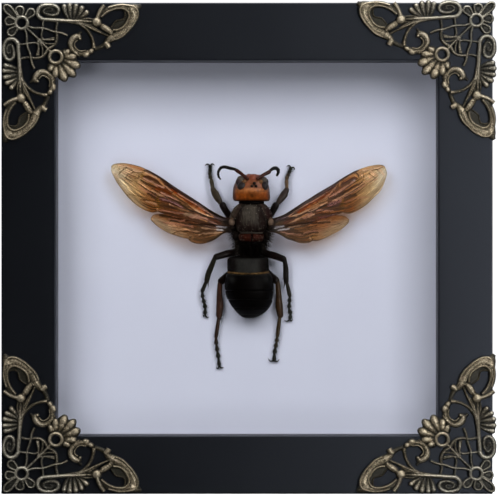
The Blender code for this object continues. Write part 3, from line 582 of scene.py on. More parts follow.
# Ball, and the long open loop with its bright rims, tip, prong and hatched leaf
cast_pad((25.8, 5.1), (1.4, 1.4), 1.75)
cast_strand([(25.9, 4.4), (26.3, 2.9), (26.9, 1.7), (27.8, 0.5)], [1.05, 1.0, 1.0, 0.95], 1.45)
cast_strand([(26.7, 3.3), (27.9, 2.3), (29.4, 1.45), (31.6, 0.95), (33.7, 1.15), (35.3, 1.9), (35.9, 3.2),
             (35.2, 5.1), (33.8, 6.9), (32.2, 8.2), (30.6, 9.0), (29.4, 9.9)],
            [1.1, 1.25, 1.4, 1.5, 1.6, 1.9, 2.1, 1.9, 1.75, 1.8, 1.9, 1.5], 1.3)
cast_strand([(27.0, 3.7), (28.1, 2.75), (29.5, 1.95), (31.7, 1.4), (33.7, 1.75), (34.6, 3.1), (34.1, 4.9),
             (32.9, 6.5), (31.4, 7.2), (30.2, 7.3)], 0.6, 1.6)
cast_strand([(28.9, 1.15), (31.5, 0.5), (34.2, 0.55), (36.4, 1.3), (37.0, 2.7), (36.0, 5.4), (34.4, 7.4),
             (32.7, 9.0), (30.8, 9.9)], 0.6, 1.5)
cast_strand([(35.0, 1.7), (36.4, 1.2), (37.2, 0.85), (37.8, 0.45)], [2.6, 2.0, 1.3, 0.8], 1.5)
cast_strand([(26.6, 5.4), (27.4, 6.3), (28.5, 7.0), (29.7, 8.0), (30.2, 8.7)],
            [0.8, 1.45, 1.5, 1.2, 0.7], 1.5)
for i in range(6):
    cast_pad((26.9 + i * 0.56, 5.75 + i * 0.5), (0.62, 0.17), 1.68, -45)
cast_plate([(33.3, 1.9), (33.5, 3.0), (33.2, 4.1), (32.2, 4.5), (31.2, 4.7), (30.4, 5.5), (29.6, 6.6),
            (31.0, 7.4), (33.0, 6.6), (34.4, 4.9), (34.7, 2.9)], 0.5)
cast_strand([(33.3, 1.9), (33.5, 3.0), (33.2, 4.1), (32.2, 4.5), (31.2, 4.7), (30.4, 5.5), (29.7, 6.5)],
            0.4, 0.95)

# Lower edge of the arm: nub, rod, C-scroll with two lobes, stem and leaf strands up to the bar
cast_strand([(30.2, 9.2), (28.9, 10.1), (28.0, 11.2), (26.8, 11.9), (25.2, 12.4)],
            [2.0, 1.5, 1.15, 1.0, 1.0], 1.45)
cast_strand([(28.0, 10.7), (28.7, 11.4), (29.1, 12.1)], [1.2, 1.35, 1.3], 1.5)
cast_strand([(20.3, 5.1), (22.6, 6.7), (24.1, 8.6), (24.8, 10.6), (25.0, 12.2)],
            [0.9, 0.74, 0.72, 0.74, 1.0], 1.35)
cast_strand([(21.4, 9.5), (20.6, 8.95), (19.6, 9.3), (18.7, 10.5), (18.8, 11.9), (19.8, 13.1), (21.3, 13.7),
             (23.2, 13.5), (24.9, 12.6)], [1.0, 1.35, 1.5, 1.4, 1.25, 1.15, 1.1, 1.3, 1.0], 1.45)
cast_strand([(20.6, 10.0), (19.75, 10.9), (20.0, 12.0), (21.2, 12.95), (22.8, 12.8)], 0.44, 1.4)
cast_pad((21.2, 9.6), (0.62, 0.5), 1.55, 40)
cast_pad((22.9, 14.0), (1.15, 0.85), 1.5, -15)
cast_pad((24.2, 13.05), (0.95, 0.8), 1.5, -35)
cast_strand([(18.9, 12.2), (19.9, 13.5), (21.2, 14.5)], [0.6, 0.7, 0.5], 1.2)
cast_strand([(21.6, 7.6), (20.9, 8.4), (20.0, 9.2)], [0.6, 0.85, 0.8], 0.8)
cast_strand([(20.9, 5.2), (23.4, 6.4), (26.0, 7.6), (28.9, 8.9)], [0.6, 0.62, 0.6, 0.5], 1.2)
cast_strand([(22.0, 5.4), (24.4, 6.35), (27.0, 7.9)], [0.5, 0.55, 0.45], 1.05)

# The strands melt together, the back is flat, and the whole keeps just inside the frame's corner
ornament = join_pieces(casting)
ornament.data.remesh_voxel_size = MELT_GRAIN
bpy.ops.object.voxel_remesh()
apply_modifier(ornament, "SMOOTH", factor=0.5, iterations=1)
start_edit(ornament)
select_where("FACE", lambda at, normal: at.z < 0.0)
bpy.ops.transform.resize(value=(1, 1, 0), center_override=(0, 0, 0))
select_all()
bpy.ops.transform.resize(value=(SHRINKAGE, SHRINKAGE, 1), center_override=(38, 38, 0))
leave_edit()
apply_modifier(ornament, "DECIMATE", decimate_type="COLLAPSE", ratio=KEPT_SHARE)

antique_brass, place = new_material("antique_brass_plate")
speckle = grain(antique_brass, place, 3000, 4, 0.75)
cloud = grain(antique_brass, place, 380, 3)
at = add_node(antique_brass, "SeparateXYZ", {"Vector": place}).outputs
HOLLOWS_Y, CRESTS_Y = -12.95 * MM, -13.85 * MM
height = level(antique_brass, at["Y"], 0.0, 1.0, HOLLOWS_Y, CRESTS_Y)
facing = add_node(antique_brass, "SeparateXYZ", {
    "Vector": add_node(antique_brass, "NewGeometry").outputs["Normal"]}).outputs["Y"]
crest = level(antique_brass, facing, 0.15, 1.0, -0.05, -0.65)
rubbed = computed(antique_brass, "MULTIPLY", height, crest)
rubbed = computed(antique_brass, "ADD", rubbed, level(antique_brass, speckle, -1.45, 1.25))
rubbed = computed(antique_brass, "ADD", rubbed, level(antique_brass, cloud, -0.15, 0.2))
# The plate is greyer in the corner and warmer towards the tips of the arms
FRAME_MIDDLE_Z = 66.5 * MM
aside = computed(antique_brass, "ABSOLUTE", at["X"])
upwards = computed(antique_brass, "ABSOLUTE", computed(antique_brass, "SUBTRACT", at["Z"], FRAME_MIDDLE_Z))
warmth = level(antique_brass, computed(antique_brass, "ADD", aside, upwards), 0.15, 1.0, 116 * MM, 101 * MM)
grey = tones(antique_brass, rubbed, (0.0, (0.012, 0.012, 0.011)), (0.35, (0.050, 0.048, 0.040)),
             (0.62, (0.17, 0.16, 0.13)), (0.95, (0.50, 0.475, 0.40)))
gold = tones(antique_brass, rubbed, (0.0, (0.014, 0.013, 0.009)), (0.35, (0.062, 0.052, 0.034)),
             (0.62, (0.21, 0.17, 0.11)), (0.95, (0.56, 0.475, 0.34)))
tone = blended(antique_brass, warmth, grey, gold)
set_shader(antique_brass, {"Base Color": tone, "Metallic": level(antique_brass, rubbed, 0.35, 0.7),
                           "Roughness": level(antique_brass, rubbed, 0.6, 0.38),
                           "Normal": relief(antique_brass, speckle, 0.00012, 0.8)})



def face_outwards(piece):
    start_edit(piece)
    select_all()
    bpy.ops.mesh.normals_make_consistent(inside=False)
    leave_edit()


# The drawn corner lies a little outside the strands, so that the casting fills its node's box
FRONT_Y = -12.5 * MM
GAP_U, GAP_V = 0.105 * MM, 0.11 * MM
for side_u, across in (("left", 1), ("right", -1)):
    for side_v, along in (("top", -1), ("bottom", 1)):
        low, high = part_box(f"ornament_{side_v}_{side_u}")
        corner_x = low.x - GAP_U if across > 0 else high.x + GAP_U
        corner_z = high.z + GAP_V if along < 0 else low.z - GAP_V
        pick(ornament)
        bpy.ops.object.duplicate(linked=False)
        corner = bpy.context.object
        corner.matrix_world = Matrix(((across * MM, 0, 0, corner_x), (0, 0, -MM, FRONT_Y),
                                      (0, along * MM, 0, corner_z), (0, 0, 0, 1)))
        settle(corner, f"filigree_{side_v}_{side_u}", 50)
        face_outwards(corner)
        fit(corner, f"ornament_{side_v}_{side_u}", antique_brass)
bpy.data.objects.remove(ornament)

# ---------------------------------------------------------------- thorax
# Middle part of a real dried insect: hard plates of chitin that overlap, with a reddish collar
# round the dark back, whose grey middle is a painted sheen, a red-brown shield behind it, and stiff hairs
# along the sides.

hornet = Vector((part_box("forewing_left")[0].x + 38.2 * MM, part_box("backing_card")[0].y,
                 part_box("thorax")[1].z - 6.3 * MM))


def on_card(x, z, height):
    """A place given in mm from the hornet's middle and above the card."""
    return hornet + Vector((x, -height, z)) * MM


def colour_plate(piece, tint):
    """Gives the whole piece its own colour, which its material reads."""
    pick(piece)
    bpy.ops.geometry.color_attribute_add(name="tint", domain="POINT", data_type="FLOAT_COLOR",
                                         color=(*tint, 1.0))
    return piece


def make_plate(stations, tint, segments=24):
    """A closed skin through rings at (z, middle x, half width, low, high), extruded from a circle."""
    z, middle, half, low, high = stations[0]
    centre, tall = on_card(middle, z, (low + high) / 2), (high - low) / 2
    deselect_all()
    bpy.ops.mesh.primitive_circle_add(vertices=segments, radius=MM, fill_type="NGON", location=centre)
    skin = bpy.context.object
    fix_place()
    start_edit(skin)
    select_all()
    bpy.ops.transform.resize(value=(half, tall, 1), center_override=centre)
    for z, middle, next_half, low, high in stations[1:]:
        next_centre, next_tall = on_card(middle, z, (low + high) / 2), (high - low) / 2
        bpy.ops.mesh.extrude_region_move(TRANSFORM_OT_translate={"value": next_centre - centre})
        bpy.ops.transform.resize(value=(next_half / half, next_tall / tall, 1), center_override=next_centre)
        centre, half, tall = next_centre, next_half, next_tall
    select_all()
    bpy.ops.mesh.normals_make_consistent(inside=False)
    leave_edit()
    apply_modifier(skin, "SUBSURF", levels=2, render_levels=2)
    return colour_plate(skin, tint)


def make_dome(centre, radii, tint, turn=0.0, segments=20):
    """A rounded bump at (x, z, height) with its reach along x, z and height, turned as seen."""
    deselect_all()
    bpy.ops.mesh.primitive_uv_sphere_add(segments=segments, ring_count=segments // 2, radius=MM,
                                         location=on_card(*centre), rotation=(0, math.radians(-turn), 0),
                                         scale=(radii[0], radii[2], radii[1]))
    dome = bpy.context.object
    fix_place()
    return colour_plate(dome, tint)


def press(piece, depth_at):
    """Sinks the front of a plate by depth_at(x, z) mm, for seams and grooves."""
    for vert in piece.data.vertices:
        x, _, z = (vert.co - hornet) / MM
        vert.co.y += depth_at(x, z) * MM


def groove(distance, width, depth=1.0):
    return depth * math.exp(-(distance / width) ** 2)


def unit(value):
    return min(1.0, max(0.0, value))


def cloudy(x, z, seed):
    """Soft noise from -1 to 1."""
    return noise.noise(Vector((x, z, seed)))


def fade(value, start, end):
    """0 before start and 1 past end, with a soft passage between them."""
    share = unit((value - start) / (end - start))
    return share * share * (3 - 2 * share)


def dyed(tint, other, share):
    return tuple(Vector(tint).lerp(Vector(other), share))


def shade_plate(piece, tint_at):
    """Colours each point of a plate by tint_at(x, z, height) in mm."""
    colours = piece.data.color_attributes["tint"].data
    for i, vert in enumerate(piece.data.vertices):
        x, depth, z = (vert.co - hornet) / MM
        colours[i].color = (*tint_at(x, z, -depth), 1.0)


SAME_PLACE = 0.0001 * MM


def make_hairs(roots, thickness, tint):
    """Stiff hairs as thin three-sided spikes from (root, direction and length) pairs."""
    hairs = bmesh.new()
    for root, reach in roots:
        side = reach.cross(Vector((0.31, 0.52, 0.79))).normalized() * thickness * MM
        other = reach.cross(side).normalized() * thickness * MM
        sag = Vector((0, 0.12 * reach.length, 0))
        rings = []
        for share, wide in ((-0.1, 1.0), (0.5, 0.65)):
            at = root + reach * share
            rings.append([hairs.verts.new(at + side * wide * math.cos(a) + other * wide * math.sin(a))
                          for a in (0.0, 2.1, 4.2)])
        tip = hairs.verts.new(root + reach + sag)
        for i in range(3):
            j = (i + 1) % 3
            hairs.faces.new((rings[0][i], rings[0][j], rings[1][j], rings[1][i]))
            hairs.faces.new((rings[1][i], rings[1][j], tip))
        hairs.faces.new((rings[0][2], rings[0][1], rings[0][0]))
    mesh = bpy.data.meshes.new("hairs")
    hairs.to_mesh(mesh)
    hairs.free()
    piece = bpy.data.objects.new("hairs", mesh)
    bpy.context.scene.collection.objects.link(piece)
    start_edit(piece)
    select_all()
    bpy.ops.mesh.remove_doubles(threshold=SAME_PLACE)
    leave_edit()
    face_outwards(piece)
    return colour_plate(piece, tint)


dice = np.random.default_rng(11)


def grow_hairs(plates, count, wanted, length, lean, thickness, tint):
    """Adds seeded hairs on the plates' faces where wanted(x, z, normal) holds to the parts in hand."""
    spots = []
    for plate in plates:
        for face in plate.data.polygons:
            x, _, z = (face.center - hornet) / MM
            if wanted(x, z, face.normal):
                corners = sorted(tuple(plate.data.vertices[i].co) for i in face.vertices)
                spots.append((corners, face.center.copy(), face.normal.copy()))
    # The faces come in another order each run, so they are sorted by their corners first
    spots.sort(key=lambda spot: spot[0])
    roots = []
    for i in dice.integers(0, len(spots), count):
        _, at, normal = spots[i]
        jitter = Vector(dice.normal(0, 0.35, 3))
        reach = (normal + jitter + Vector(lean)).normalized() * dice.uniform(0.55, 1.0) * length * MM
        roots.append((at + Vector(dice.normal(0, 0.08 * MM, 3)), reach))
    parts.append(make_hairs(roots, thickness, tint))


def chitin(name, roughness, pits, shine):
    """Chitin in the colour of each plate, with `pits` to the metre and cloudy mottling."""
    material, place = new_material(name)
    own = add_node(material, "Attribute", attribute_name="tint").outputs["Color"]
    mottle = grain(material, place, 900, 4, 0.6)
    fine = grain(material, place, 9000, 2)
    cells = add_node(material, "TexVoronoi", {"Vector": place, "Scale": pits}).outputs["Distance"]
    mottled = tones(material, mottle, (0.25, (0.5, 0.5, 0.5)), (0.75, (1.0, 0.98, 0.94)))
    tone = blended(material, 1.0, own, mottled, "MULTIPLY")
    bump = relief(material, cells, 0.00003, 0.35)
    bump = relief(material, fine, 0.000012, 0.5, bump)
    rough = level(material, mottle, roughness - 0.08, roughness + 0.12)
    set_shader(material, {"Base Color": tone, "Roughness": rough, "Specular IOR Level": shine,
                          "Normal": bump})
    return material


dark_chitin = chitin("dark_chitin_of_the_body", 0.5, 5200, 0.04)


def finish_insect_part(parts, node, material):
    fit(settle(join_pieces(parts), "hornet_" + node, 50), node, material)


BACK_SHEEN_GREY = (0.067, 0.056, 0.045)
BACK_DARK = (0.014, 0.0075, 0.0065)
COLLAR_BROWN = (0.058, 0.038, 0.030)
SHIELD_RED = (0.060, 0.0145, 0.008)
JET = (0.0016, 0.0011, 0.0010)
SIDE_DARK = (0.0055, 0.0036, 0.0028)


# The grey in the middle of the back is a painted sheen. Towards the sides and the rear the plate keeps its
# own dark colour, under its real streaks.
def back_sheen_tint(x, z, height):
    streak = cloudy(x * 2.8, z * 0.5, 3.0) + 0.5 * cloudy(x * 7.0, z * 1.1, 9.0)
    dark = max(fade(abs(x + 0.35), 0.9, 3.0), fade(z, 2.2, -0.9)) - 0.75 * streak
    return dyed(BACK_SHEEN_GREY, BACK_DARK, unit(dark))


def collar_line(x, z):
    """Distance in mm outside the seam that runs from the neck to the wing on each side."""
    return abs(x) - 2.5 - (5.5 - z) * 0.5


def collar_tint(x, z, height):
    brown = dyed(COLLAR_BROWN, (0.036, 0.014, 0.013), fade(x, 3.5, 4.6))
    brown = dyed(brown, (0.100, 0.076, 0.052), groove(x + 5.95 - (z - 0.9) * 0.42, 0.42, 0.9))
    cloud = 0.75 + 0.5 * cloudy(x * 1.7, z * 1.7, 1.0)
    return Vector(dyed((0.020, 0.015, 0.012), brown, fade(collar_line(x, z), -0.15, 0.3))) * cloud


def shield_tint(x, z, height):
    cloud = 0.5 + 0.9 * cloudy(x * 1.5, z * 1.9, 5.0)
    dark = max(cloud * 0.6, fade(abs(x - 0.25), 0.5, 0.1), fade(z, -3.9, -4.7))
    return dyed(SHIELD_RED, JET, unit(dark))


sides = make_plate([(5.0, 0.0, 3.4, 3.4, 8.6), (3.6, 0.0, 4.9, 2.9, 9.2), (1.6, 0.0, 5.7, 2.6, 9.8),
                    (-0.6, 0.0, 5.7, 2.6, 9.8), (-2.4, 0.0, 5.2, 2.6, 9.4), (-4.4, -0.1, 4.5, 2.8, 8.8),
                    (-6.2, -0.2, 3.7, 3.2, 8.0), (-7.4, -0.3, 3.0, 3.6, 7.4)], SIDE_DARK, 28)
neck = make_plate([(7.3, 0.1, 2.3, 5.2, 8.0), (6.8, 0.1, 3.2, 4.6, 9.2), (6.2, 0.1, 3.6, 4.3, 9.7),
                   (5.5, 0.1, 3.4, 4.5, 9.5)], JET)
collar = make_plate([(6.1, 0.15, 2.6, 5.4, 8.4), (5.9, 0.15, 3.5, 4.8, 9.1), (5.3, 0.12, 4.35, 4.0, 10.1),
                     (4.6, 0.12, 4.85, 3.8, 10.5), (3.6, 0.1, 5.5, 3.6, 10.8), (2.4, 0.0, 6.0, 3.6, 10.75),
                     (1.0, 0.0, 5.85, 3.9, 10.2), (0.2, 0.0, 5.2, 4.4, 9.5)], COLLAR_BROWN, 28)
press(collar, lambda x, z: groove(collar_line(x, z), 0.17, 0.14) + groove(z - 5.55, 0.14, 0.1))
shade_plate(collar, collar_tint)
back = make_plate([(5.6, 0.05, 1.6, 6.0, 9.9), (5.1, 0.05, 2.7, 5.6, 10.8), (3.9, 0.05, 3.6, 5.4, 11.55),
                   (2.2, 0.05, 4.15, 5.4, 12.0), (0.4, 0.05, 4.35, 5.4, 12.1), (-1.0, 0.05, 4.1, 5.4, 11.75),
                   (-1.75, 0.05, 3.6, 5.6, 11.2), (-2.05, 0.05, 3.2, 6.0, 10.6)], BACK_SHEEN_GREY, 36)
press(back, lambda x, z: groove(x, 0.1, 0.07) + groove(abs(x) - 1.5 - z * 0.12, 0.13, 0.07)
      + 0.05 * cloudy(x * 2.8, z * 0.5, 3.0))
shade_plate(back, back_sheen_tint)
suture = make_plate([(-1.9, 0.15, 3.0, 8.8, 11.15), (-2.12, 0.15, 3.3, 8.7, 11.45),
                     (-2.34, 0.15, 3.1, 8.8, 11.2)], (0.062, 0.052, 0.042))
shield = make_plate([(-2.2, 0.1, 3.0, 6.0, 10.4), (-2.5, 0.1, 3.5, 5.6, 11.15), (-3.3, 0.1, 3.55, 5.4, 11.4),
                     (-4.1, 0.05, 3.25, 5.4, 10.9), (-4.75, 0.0, 2.6, 5.8, 9.9)], SHIELD_RED, 28)
press(shield, lambda x, z: groove(x - 0.25, 0.26, 0.5) + groove(abs(x - 0.25) - 2.6, 0.3, 0.12))
shade_plate(shield, shield_tint)
tail = make_plate([(-4.3, 0.0, 3.2, 4.0, 9.9), (-4.9, -0.05, 3.5, 3.5, 9.9), (-6.2, -0.15, 3.45, 3.3, 9.2),
                   (-7.4, -0.3, 3.1, 3.5, 8.2), (-8.2, -0.4, 2.5, 4.0, 7.6),
                    (-8.8, -0.5, 1.6, 4.6, 7.0)], JET)
press(tail, lambda x, z: groove(x + 0.1, 0.35, 0.35))
parts = [sides, neck, collar, back, suture, shield, tail]
for side in (-1, 1):
    hinge = 5.35 * side + 0.08
    for centre, radii, tint, turn in (
            ((hinge, 0.75, 9.7), (0.82, 1.02, 0.75), (0.150, 0.100, 0.072), -12),
            ((hinge - 0.1 * side, 1.75, 9.5), (0.55, 0.32, 0.6), (0.085, 0.052, 0.034), 20),
            ((hinge, -0.15, 9.75), (0.5, 0.28, 0.5), (0.020, 0.012, 0.009), 10),
            ((5.2 * side, -0.75, 9.2), (0.75, 0.6, 0.6), (0.012, 0.008, 0.006), -25),
            ((4.3 * side, -2.9, 8.9), (0.8, 1.15, 0.9), SIDE_DARK, 15),
            ((2.4 * side, 3.2, 2.9), (1.5, 1.7, 1.3), SIDE_DARK, 0),
            ((2.3 * side, -1.4, 2.6), (1.6, 1.8, 1.2), SIDE_DARK, 0),
            ((1.9 * side, -5.2, 2.8), (1.4, 1.6, 1.2), JET, 0)):
        parts.append(make_dome(centre, radii, tint, turn * side))
# Black fuzz, grey fuzz, the ruff at the neck, the down on the back, and specks of dust
grow_hairs([sides, tail], 1500, lambda x, z, normal: abs(normal.x) > 0.3 and z < 0.2,
           2.4, (0, -0.2, -0.3), 0.04, (0.0045, 0.0032, 0.0026))
grow_hairs([sides, tail], 380, lambda x, z, normal: abs(x + 0.2) > 2.9 and z < -0.8,
           2.0, (0, 0.2, -0.3), 0.03, (0.130, 0.112, 0.100))
grow_hairs([collar], 220, lambda x, z, normal: abs(normal.x) > 0.5 and z < 5.0,
           0.8, (0, -0.2, -0.2), 0.03, (0.016, 0.011, 0.009))
grow_hairs([back, shield, collar], 150, lambda x, z, normal: normal.y < -0.35,
           0.4, (0, 0, -0.9), 0.034, (0.30, 0.26, 0.21))
grow_hairs([back, shield, collar], 34, lambda x, z, normal: normal.y < -0.5,
           0.26, (0, -0.4, 0), 0.085, (0.46, 0.42, 0.34))
finish_insect_part(parts, "thorax", dark_chitin)

# ---------------------------------------------------------------- head
# Broad orange-brown head of the hornet, seen from above: a band of bright chitin behind the dark
# kidney-shaped eyes, three small black simple eyes, and the jaws folded under the front.

orange_chitin = chitin("orange_chitin_of_the_head", 0.38, 6500, 0.22)
BAND_ORANGE = (0.370, 0.084, 0.011)
CREST_HIGHLIGHT_ORANGE = (0.480, 0.160, 0.046)
CROWN_ORANGE = (0.270, 0.090, 0.040)
FRONT_RED = (0.280, 0.077, 0.042)
CHEEK_PAINTED_SHADE = (0.060, 0.026, 0.022)
EYE_DARK, EYE_PALE_REFLECTION, EYE_BRIDGE = (0.030, 0.024, 0.024), (0.092, 0.074, 0.060), (0.040, 0.024, 0.026)
EYE_NOTCH = (0.190, 0.088, 0.034)


def head_tint(x, z, height):
    ripple = 0.05 * math.sin(3 * x)
    # The paler crest across the head is a painted highlight.
    base = dyed(BAND_ORANGE, CREST_HIGHLIGHT_ORANGE, fade(z + ripple, 8.2, 9.4))
    base = dyed(base, CROWN_ORANGE, fade(z, 9.6, 10.2))
    base = dyed(base, FRONT_RED, fade(z, 11.8, 12.8))
    # Painted shade: darker at both sides, where the head turns away, and darker towards the neck.
    base = dyed(base, CHEEK_PAINTED_SHADE, 0.85 * fade(abs(x - 0.15), 4.0, 4.9))
    base = dyed(base, (0.030, 0.010, 0.004), fade(z, 7.2, 6.5))
    base = dyed(base, (0.100, 0.030, 0.006), 0.8 * groove(math.hypot((x - 0.3) * 0.5, z - 8.2), 0.55))
    base = dyed(base, (0.020, 0.010, 0.006), 0.75 * groove(math.hypot(x - 0.8, z - 10.85), 0.62))
    # A painted highlight spot on the crest left of the middle, and painted shade on the low parts that face
    # the card.
    base = dyed(base, (0.560, 0.215, 0.075), 0.6 * groove(math.hypot((x + 0.7) * 0.35, z - 9.7), 0.42))
    base = dyed(base, (0.020, 0.008, 0.005), fade(height, 7.0, 4.5))
    cloud = 0.92 + 0.45 * cloudy(x * 1.5, z * 2.1, 2.0) + 0.2 * cloudy(x * 4, z * 4, 6.0)
    return Vector(base) * cloud


cheeks = make_plate([(6.45, 0.15, 3.7, 4.8, 8.4), (6.55, 0.15, 4.85, 3.8, 9.4), (7.2, 0.12, 5.15, 3.1, 10.3),
                     (8.6, 0.08, 5.1, 2.6, 11.1), (9.9, 0.05, 5.02, 2.2, 11.2), (11.3, 0.08, 4.7, 2.0, 10.8),
                     (12.5, 0.25, 4.05, 1.9, 10.0), (13.3, 0.3, 3.2, 2.2, 9.0), (13.9, 0.3, 2.1, 3.0, 7.8)],
                    BAND_ORANGE, 40)
press(cheeks, lambda x, z: groove(x - 0.2, 0.12, 0.08) * fade(z, 9.8, 9.3)
      - 0.22 * groove(z - 9.45, 0.5) * fade(abs(x - 0.3), 4.0, 2.2))
shade_plate(cheeks, head_tint)
parts = [cheeks]
for centre, radii, tint in (((0.35, 12.75, 8.9), (1.35, 1.15, 1.3), FRONT_RED),
                            ((-0.5, 13.2, 7.4), (0.95, 0.85, 1.9), FRONT_RED),
                            ((1.05, 13.15, 7.4), (0.9, 0.82, 1.9), FRONT_RED),
                            ((0.3, 13.15, 5.8), (1.9, 0.8, 2.6), (0.13, 0.05, 0.012))):
    parts.append(make_dome(centre, radii, tint, segments=24))
# Lobes of the eyes, left and then right; the pale upper lobe of each is a painted reflection
for centre, radii, tint, turn in (((-2.5, 10.6, 9.85), (1.32, 1.15, 1.05), EYE_DARK, 12),
                                  ((-2.75, 12.4, 8.35), (1.18, 1.12, 1.4), EYE_PALE_REFLECTION, 20),
                                  ((-3.25, 11.5, 8.8), (0.95, 1.35, 1.05), EYE_BRIDGE, 12),
                                  ((3.72, 10.7, 9.35), (1.02, 1.18, 1.15), EYE_DARK, 0),
                                  ((3.45, 12.15, 8.5), (0.98, 1.05, 1.3), EYE_PALE_REFLECTION, -20),
                                  ((4.05, 11.45, 8.35), (0.7, 1.25, 1.05), (0.014, 0.011, 0.010), -12)):
    parts.append(make_dome(centre, radii, tint, turn, segments=28))
# Notches in the eyes, the sockets of the feelers, and the three simple eyes
parts += [make_dome((-1.8, 11.8, 9.75), (0.72, 0.66, 0.6), EYE_NOTCH, 15),
          make_dome((2.6, 11.8, 9.65), (0.66, 0.6, 0.6), EYE_NOTCH, -15),
          make_dome((-1.08, 12.6, 9.9), (0.55, 0.5, 0.5), (0.06, 0.020, 0.012)),
          make_dome((1.92, 12.7, 9.9), (0.55, 0.5, 0.5), (0.06, 0.020, 0.012))]
for x, z in ((0.2, 10.62), (0.84, 11.4), (1.38, 10.62)):
    parts.append(make_dome((x, z, 11.0), (0.42, 0.4, 0.22), (0.012, 0.006, 0.004)))
    parts.append(make_dome((x, z, 11.1), (0.3, 0.3, 0.22), (0.003, 0.003, 0.002)))
for side in (-1, 1):
    jaw = [(12.0, 0.2 + 2.2 * side, 0.9, 2.0, 5.0), (12.9, 0.2 + 1.9 * side, 1.0, 1.7, 4.4),
           (13.7, 0.2 + 1.1 * side, 0.8, 1.7, 3.6), (14.05, 0.2 + 0.3 * side, 0.35, 1.9, 3.0)]
    parts.append(make_plate(jaw, (0.07, 0.022, 0.008), 16))
grow_hairs([cheeks], 260, lambda x, z, normal: z < 9.0 or abs(normal.x) > 0.5 or z > 12.8,
           0.42, (0, 0, -0.3), 0.02, (0.10, 0.055, 0.025))
finish_insect_part(parts, "head", orange_chitin)

# ---------------------------------------------------------------- antennae
# Two jointed feelers: a long reddish first joint, then a black whip of short rings that curls
# down towards its tip. The left one keeps its whole whip.

brown_chitin = chitin("brown_chitin_of_the_limbs", 0.42, 7000, 0.18)


def make_tube(stops, tint, girth=1.0, rounded=True):
    """A round joint through (x, z, height, radius) points in mm."""
    radii = [stop[3] * girth for stop in stops]
    widest = max(radii)
    tube = draw_curve("BEZIER", [on_card(*stop[:3]) for stop in stops], False,
                      [radius / widest for radius in radii])
    tube.data.bevel_depth = widest * MM
    tube.data.bevel_resolution = 3
    tube.data.use_fill_caps = True
    joint = colour_plate(to_mesh(tube), tint)
    shade_plate(joint, lambda x, z, height: Vector(tint) * (1 + 0.9 * cloudy(x * 1.6, z * 1.1, 8.0)))
    if not rounded:
        return [joint]
    return [joint] + [make_dome(stops[end][:3], (radii[end] * 0.98,) * 3, tint, segments=12)
                      for end in (0, -1)]


def between(steps, places, spread):
    """Each column of `places`, given at `steps`, read at the points of `spread`."""
    return np.stack([np.interp(spread, steps, column) for column in np.array(places).T], 1)


def along_route(route, count, axes):
    """`count` evenly spaced points on the line through a route whose first `axes` values are its place."""
    places = np.array(route, float)
    steps = np.r_[0, np.cumsum(np.linalg.norm(np.diff(places[:, :axes], axis=0), axis=1))]
    return between(steps, places, np.linspace(0, steps[-1], count))


SCAPE_RED = (0.052, 0.015, 0.010)
WHIP_BLACK = (0.006, 0.005, 0.004)
FEELERS = (
    ("antenna_left",
     [(-1.1, 12.6, 10.2, 0.42), (-2.5, 13.9, 9.3, 0.46), (-3.9, 14.9, 8.5, 0.55), (-4.4, 15.25, 8.1, 0.38),
      (-5.6, 15.5, 7.3, 0.46), (-7.3, 15.95, 6.2, 0.43), (-8.3, 15.65, 5.5, 0.4), (-8.9, 14.8, 4.9, 0.37),
      (-9.0, 13.95, 4.6, 0.34), (-8.8, 13.15, 4.3, 0.3), (-8.4, 12.65, 4.2, 0.22)]),
    ("antenna_right",
     [(1.8, 12.7, 10.2, 0.42), (3.3, 13.65, 9.3, 0.46), (4.95, 14.5, 8.4, 0.55), (5.4, 15.05, 8.0, 0.38),
      (6.1, 15.5, 7.2, 0.46), (6.85, 15.6, 6.4, 0.46), (7.4, 15.1, 5.7, 0.44), (7.45, 14.4, 5.1, 0.4),
      (7.1, 13.65, 4.7, 0.3)]),
)
WHIP_FROM = 3
for name, route in FEELERS:
    parts = make_tube(route[:WHIP_FROM], SCAPE_RED)
    parts.append(make_dome(route[WHIP_FROM][:3], (0.42, 0.42, 0.42), WHIP_BLACK, segments=12))
    whip = along_route(route[WHIP_FROM:], 34, 3)
    rings = [(*stop[:3], stop[3] * (1.18, 1.08, 0.85)[i % 3]) for i, stop in enumerate(whip)]
    parts += make_tube(rings, WHIP_BLACK)
    finish_insect_part(parts, name, brown_chitin)

# ---------------------------------------------------------------- gaster
# Hind body of six plates that slide into one another: a matte grey first plate with a thin
# yellow-brown hem, then black ones that narrow to the tail, with short hairs along their edges.

